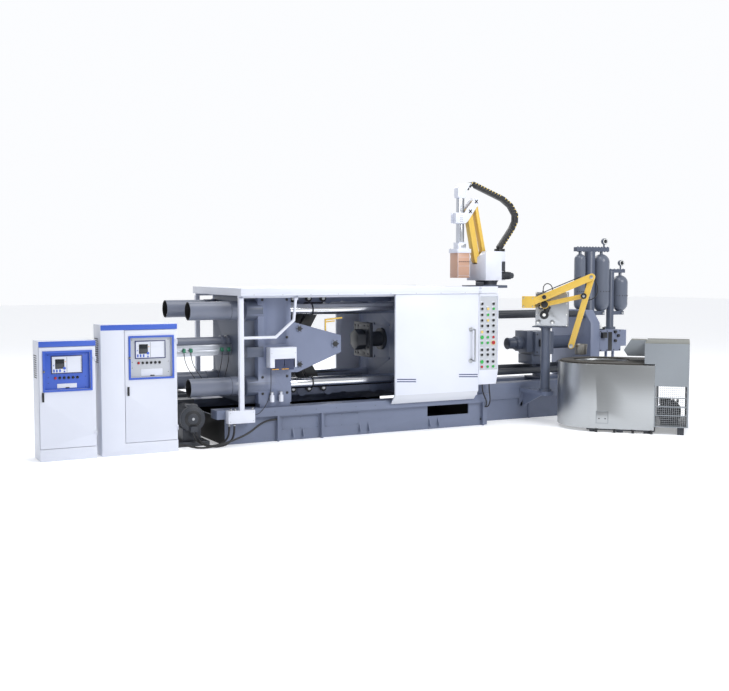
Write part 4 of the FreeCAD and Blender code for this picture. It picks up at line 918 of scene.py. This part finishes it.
for x in (-1375, -1245):
    disc(bm, (x, -762, 655), "z", 20, 10, 1, 6)
fit(bm, "small_unit_trim", "machine",
    [white_powder, zinc_plate, black_oxide_and_painted_shade, jar_plastic, amber_lens])

PUMP_X, PUMP_Z, FAN_COVER, PUMP_REACH = -2427, 357, -650, 150
bm = bmesh.new()
for radius, skin in ((PUMP_REACH, 0), (112, 1), (70, 0)):
    height = 6 + (PUMP_REACH - radius) * 0.12
    disc(bm, (PUMP_X, FAN_COVER, PUMP_Z), "-y", radius, height, skin, 48, 3)
for number in range(9):
    disc(bm, (PUMP_X, -600 + 38 * number, PUMP_Z), "y", 171, 9, 0, 48, 2)
disc(bm, (PUMP_X, FAN_COVER - 16, PUMP_Z), "-y", 18, 6, 2)
fit(bm, "pump_motor_fins", "machine", [dark_enamel_and_painted_shade, black_oxide_and_painted_shade, zinc_plate])

# %% [markdown]
# ## The sprayer's fittings
# The clamp plates show the arms' pins as small crosses of screws. The column is an extruded
# profile with a bright rail and slots painted black as painted shade, and the spray box has a
# row of nozzles and light seams. A thin black plate on a face reads as a slot, and is quicker
# to make than a cut.

# %% Sprayer fittings
CLAMP_PLATE, PROFILE, BOX_FRONT = -530, -494, -555
RUNS = ((2690, 2945), (3110, 3315))
bm = bmesh.new()
for x, z in ((1864, 3130), (1966, 3276)):
    disc(bm, (x, CLAMP_PLATE, z), "-y", 15, 6, 1, 24)
    for across, up in ring(4, 26, 45):
        disc(bm, (x + across, CLAMP_PLATE, z + up), "-y", 9, 5, 1, 16)
for x, z in product((1700, 1724), (2980, 3010, 3040, 3070)):
    disc(bm, (x, CLAMP_PLATE, z), "-y", 5, 3, 1, 12)
# Thin black plates on the profile are painted shade in its slots.
for x, run in product((1712, 1768), RUNS):
    slab(bm, (x - 5, x + 5), (PROFILE - 1.5, PROFILE), run, 1, 0)
for run in RUNS:
    slab(bm, (1728, 1752), (PROFILE - 4, PROFILE), run, 2, 1)
slab(bm, (1715, 1800), (-521.5, -519), (2600, 2655), 2, 2)
for x, y in product((1640, 1840), (-550, -350)):
    bolt(bm, (x, y, 2580), "z", 8, 2)
for x in (1668, 1700, 1732, 1764, 1796, 1828):
    disc(bm, (x, BOX_FRONT, 2395), "-y", 7, 10, 1, 12)
for x in (1640, 1840):
    slab(bm, (x - 3, x + 3), (BOX_FRONT - 1, BOX_FRONT), (2165, 2515), 3, 0)
for z in (2190, 2330, 2460):
    slab(bm, (1637, 1843), (BOX_FRONT - 1, BOX_FRONT), (z, z + 3), 3, 0)
fit(bm, "sprayer_fittings", "sprayer", [white_powder, black_oxide_and_painted_shade, zinc_plate, grey_powder_and_painted_shade])

# %% [markdown]
# ## The energy chain
# A chain of nylon links carries the sprayer's hoses. Each link has a round joint on both
# sides and a yellow pin towards the outside of the bend. A modifier could repeat one link
# along a curve; here a walk along the chain's corners puts them down at an even step.

# %% Energy chain links
CHAIN_STOPS = ((1829, 3440), (1903, 3518), (1953, 3530), (2479, 3331), (2620, 3234),
               (2710, 3101), (2708, 3000), (2650, 2891), (2440, 2615))
LINK, PIN_OUT = 52, 24
bm = bmesh.new()
for (x0, z0), (x1, z1) in zip(CHAIN_STOPS, CHAIN_STOPS[1:]):
    run = Vector((x1 - x0, 0, z1 - z0))
    along = run.normalized()
    outward = Vector((-along.z, 0, along.x))
    for number in range(max(1, int(run.length / LINK))):
        centre = Vector((x0, 0, z0)) + along * LINK * (number + 0.5)
        pin = centre + outward * PIN_OUT
        for y, side in ((-490, "-y"), (-410, "y")):
            disc(bm, (centre.x, y, centre.z), side, 22, 3, 0, 16)
            disc(bm, (pin.x, y, pin.z), side, 9, 5, 1, 12)
fit(bm, "energy_chain_links", "sprayer", [chain_nylon, button_yellow])

# %% [markdown]
# ## The sprayer's drive
# A ribbed motor turns the sprayer. A small terminal box stands over it and stiff hoses run
# between the two; they are pipes with round elbows, which ride on the sprayer.

# %% Sprayer drive
bm = bmesh.new()
pipe(bm, [(2385, -560, 2400), (2385, -560, 2470), (2352, -560, 2500)], 10)
pipe(bm, [(2400, -590, 2262), (2440, -590, 2262), (2440, -590, 2215)], 9)
slab(bm, (2352, 2412), (-612, -580), (2275, 2385), 1, 3)
for number in range(7):
    disc(bm, (2392 + 18 * number, -585, 2190), "x", 58, 6, 0, 32, 1)
slab(bm, (1905, 2035), (-640, -620), (2050, 2100), 2, 2)
fit(bm, "sprayer_drive_trim", "sprayer", [black_oxide_and_painted_shade, zinc_plate, dark_enamel_and_painted_shade])

# %% [markdown]
# ## The ladler
# Every pivot of the arms ends in a round cap, and each cap rides on the arm that turns
# about it. The gearbox has a white dial at its shaft and bolted edges. The ladler stands
# askew, so these sets are made square to it and then turned with it.

# %% Ladler caps
PINS = [black_oxide_and_painted_shade, zinc_plate]
bm = bmesh.new()
disc(bm, (4818, LADLER_Y - 45, 1898), "-y", 44, 16, 0, 36, 3)
disc(bm, (4818, LADLER_Y - 61, 1898), "-y", 18, 5, 1, 24)
disc(bm, (4642, LADLER_Y - 19, 1169), "-y", 30, 12, 1, 28, 3)
rail(bm, (4898, LADLER_Y - 10, 1980), (4700, LADLER_Y - 10, 1290), 6, 1)
fit(bm, "forearm_caps", "ladler_forearm", PINS, turned=True)
bm = bmesh.new()
disc(bm, (4250, LADLER_Y + 20, 1770), "-y", 52, 14, 0, 36, 3)
fit(bm, "link_cap", "ladler_link", [black_oxide_and_painted_shade], turned=True)
bm = bmesh.new()
disc(bm, (4927, LADLER_Y - 90, 2172), "-y", 26, 8, 1, 28, 2)
disc(bm, (4257, LADLER_Y - 90, 1879), "-y", 30, 8, 0, 28, 2)
for x, z in product((3960, 4092), (1745, 1865)):
    bolt(bm, (x, LADLER_Y - 100, z), "-y", 9, 1)
pipe(bm, [(4150, LADLER_Y - 60, 1905), (4300, LADLER_Y - 60, 1975), (4780, LADLER_Y - 60, 2180)], 7)
fit(bm, "arm_caps", "ladler_arm", PINS, turned=True)

# %% Gearbox trim
GEARBOX = LADLER_Y + 85
SHAFT_X, SHAFT_Z = 4246, 1616
bm = bmesh.new()
disc(bm, (SHAFT_X, GEARBOX, SHAFT_Z), "-y", 98, 10, 2, 48, 3)
disc(bm, (SHAFT_X, LADLER_Y + 25, SHAFT_Z), "-y", 64, 12, 0, 40, 3)
disc(bm, (SHAFT_X, LADLER_Y + 13, SHAFT_Z), "-y", 24, 6, 1, 28)
rail(bm, (SHAFT_X, LADLER_Y + 60, SHAFT_Z), (4300, LADLER_Y + 60, 1740), 40, 0, 24)
for x, z, skin in ((4150, 1500, 2), (4360, 1500, 2), (4190, 1731, 0)):
    disc(bm, (x, GEARBOX, z), "-y", 38, 20, skin, 32, 3)
    disc(bm, (x, GEARBOX - 20, z), "-y", 16, 6, 1, 24)
for x, z in product((4124, 4562), (1460, 1620, 1780, 1936)):
    bolt(bm, (x, GEARBOX, z), "-y", 7, 1)
for x, y in ((4206, LADLER_Y + 190), (4350, LADLER_Y + 146)):
    disc(bm, (x, y, 1950), "z", 15, 16, 0, 6)
for z, way in ((504, "z"), (1424, "-z")):
    disc(bm, (4253, LADLER_Y + 167, z), way, 92, 10, 3, 48, 2)
fit(bm, "gearbox_trim", "machine", [black_oxide_and_painted_shade, dial_face, zinc_plate, slate_enamel_and_painted_shade], turned=True)

# %% [markdown]
# ## The furnace
# The blower sits behind a welded wire grille: crossed thin rods with six sides each, since
# there are many. Its black body has cooling ribs, and the furnace stands on black feet. A
# small hatch, folded edges and a rest for the lid finish the sheet metal.

# %% Blower grille and black parts
MESH_STEP, WIRE = 27, 2.2
bm = bmesh.new()
for x in range(5867, 6262, MESH_STEP):
    rail(bm, (x, 2045, 118), (x, 2045, 672), WIRE, 0, 6)
for z in range(132, 668, MESH_STEP):
    rail(bm, (5853, 2041, z), (6270, 2041, z), WIRE, 0, 6)
fit(bm, "blower_grille", "machine", [zinc_plate], turned=True)

bm = bmesh.new()
for number in range(8):
    disc(bm, (6040, 2212 + 30 * number, 290), "y", 158, 9, 0, 48, 2)
disc(bm, (6040, 2205, 290), "-y", 120, 14, 0, 40, 4)
for x in (5950, 6010, 6070, 6130):
    slab(bm, (x, x + 34), (2215, 2400), (430, 462), 0, 4)
for x in (5040, 5290, 5540, 5790):
    slab(bm, (x, x + 34), (2012, 2070), (0, 48), 0, 3)
for x in (5095, 5180):
    disc(bm, (x, 2011, 196), "-y", 9, 6, 0, 20)
fit(bm, "furnace_black_parts", "machine", [black_oxide_and_painted_shade], turned=True)

# %% Furnace trim
HATCH = (2008, 2011)
bm = bmesh.new()
for z in (128, 292):
    slab(bm, (5053, 5220), HATCH, (z, z + 6), 0, 1)
for x in (5053, 5214):
    slab(bm, (x, x + 6), HATCH, (128, 298), 0, 1)
for y in (2025, 3120):
    slab(bm, (5700, 6295), (y, y + 25), (1262, 1265), 1, 1)
slab(bm, (5400, 5452), (2449, 2781), (1128, 1136), 2, 1)
fit(bm, "furnace_trim", "machine", [stainless_grey, olive_top, grey_powder_and_painted_shade], turned=True)

# %% [markdown]
# ## Accumulators
# Gauges with white dials stand on the accumulators, whose heads are bolted from both
# sides. Dark plugs are set in an arc round each bottle, and a valve sits under it.

# %% Accumulator fittings
GAUGE_FACE, BOTTLE_Y = 170, 200
bm = bmesh.new()
for x, z in ((4973, 2748), (5332, 2393)):
    disc(bm, (x, GAUGE_FACE, z), "-y", 50, 6, 0, 40, 2)
    disc(bm, (x, GAUGE_FACE - 6, z), "-y", 43, 2, 2, 40, 0.4)
    disc(bm, (x, GAUGE_FACE - 8, z), "-y", 33, 2, 1, 40, 0.4)
for x in range(4405, 5040, 62):
    bolt(bm, (x, 170, 2650), "z", 13, 0)
    bolt(bm, (x, 170, 2580), "-z", 11, 0)
for x in (5100, 5180, 5260, 5370):
    bolt(bm, (x, 175, 2290), "z", 11, 0)
for x, radius, z in ((4477, 89, 1923), (4920, 134, 1923), (5325, 127, 1849)):
    for turn in range(7):
        angle = math.radians(-150 + 20 * turn)
        disc(bm, (x + radius * math.cos(angle), BOTTLE_Y + radius * math.sin(angle), z), "-y",
             9, 6, 1, 12)
for x in (4477, 4920, 5325):
    disc(bm, (x, BOTTLE_Y, 1528), "z", 40, 14, 0, 6)
    disc(bm, (x, 140, 1562), "-y", 22, 26, 3, 20, 2)
fit(bm, "accumulator_fittings", "machine", [slate_enamel_and_painted_shade, black_oxide_and_painted_shade, dial_face, zinc_plate])

# %% [markdown]
# ## Injection unit
# Black valves and caps sit on the hydraulic block, stepped rings on the cylinder's nose and
# large hexagon nuts on the bars. They are the forms that tell a hydraulic drive at a glance.

# %% Injection fittings
BLOCK_FACE, NOSE_Z, NOSE_RING, BAR_NUTS = -500, 1127, 92, 4150
bm = bmesh.new()
slab(bm, (4500, 4580), (BLOCK_FACE - 2, BLOCK_FACE), (990, 1290), 1, 0.5)
slab(bm, (4350, 4440), (BLOCK_FACE - 60, BLOCK_FACE), (1200, 1290), 1, 4)
for x, z in ((4640, 1290), (4700, 1230), (4640, 1150)):
    disc(bm, (x, BLOCK_FACE, z), "-y", 24, 30, 1, 24, 3)
for x, z in product((4350, 4480, 4620, 4740), (1002, 1304)):
    bolt(bm, (x, BLOCK_FACE, z), "-y", 9, 1)
for x in (4380, 4470, 4560):
    disc(bm, (x, -300, 1320), "z", 34, 40, 1, 28, 4)
disc(bm, (4400, -430, 1340), "z", 30, 30, 2, 28, 4)
disc(bm, (4400, -430, 1372), "z", 36, 34, 2, 32, 4)
for x, radius in ((2905, 92), (3040, 100), (3155, 98)):
    disc(bm, (x, 0, NOSE_Z), "x", radius, 16, 0, 48, 3)
for across, up in ring(8, NOSE_RING):
    bolt(bm, (3055, across, NOSE_Z + up), "-x", 8, 1)
for x, z in product((3320, 3440, 3560), (990, 1270)):
    bolt(bm, (x, -225, z), "-y", 10, 1)
slab(bm, (3350, 3470), (-262, -225), (1080, 1190), 1, 5)
for y, z in product((-300, 300), (720, 1585)):
    disc(bm, (BAR_NUTS, y, z), "-x", 78, 40, 0, 6, 4)
for y in (-440, -330, 330, 440):
    bolt(bm, (BAR_NUTS, y, 620), "-x", 14, 1)
fit(bm, "injection_fittings", "machine", [slate_enamel_and_painted_shade, black_oxide_and_painted_shade, dial_face])
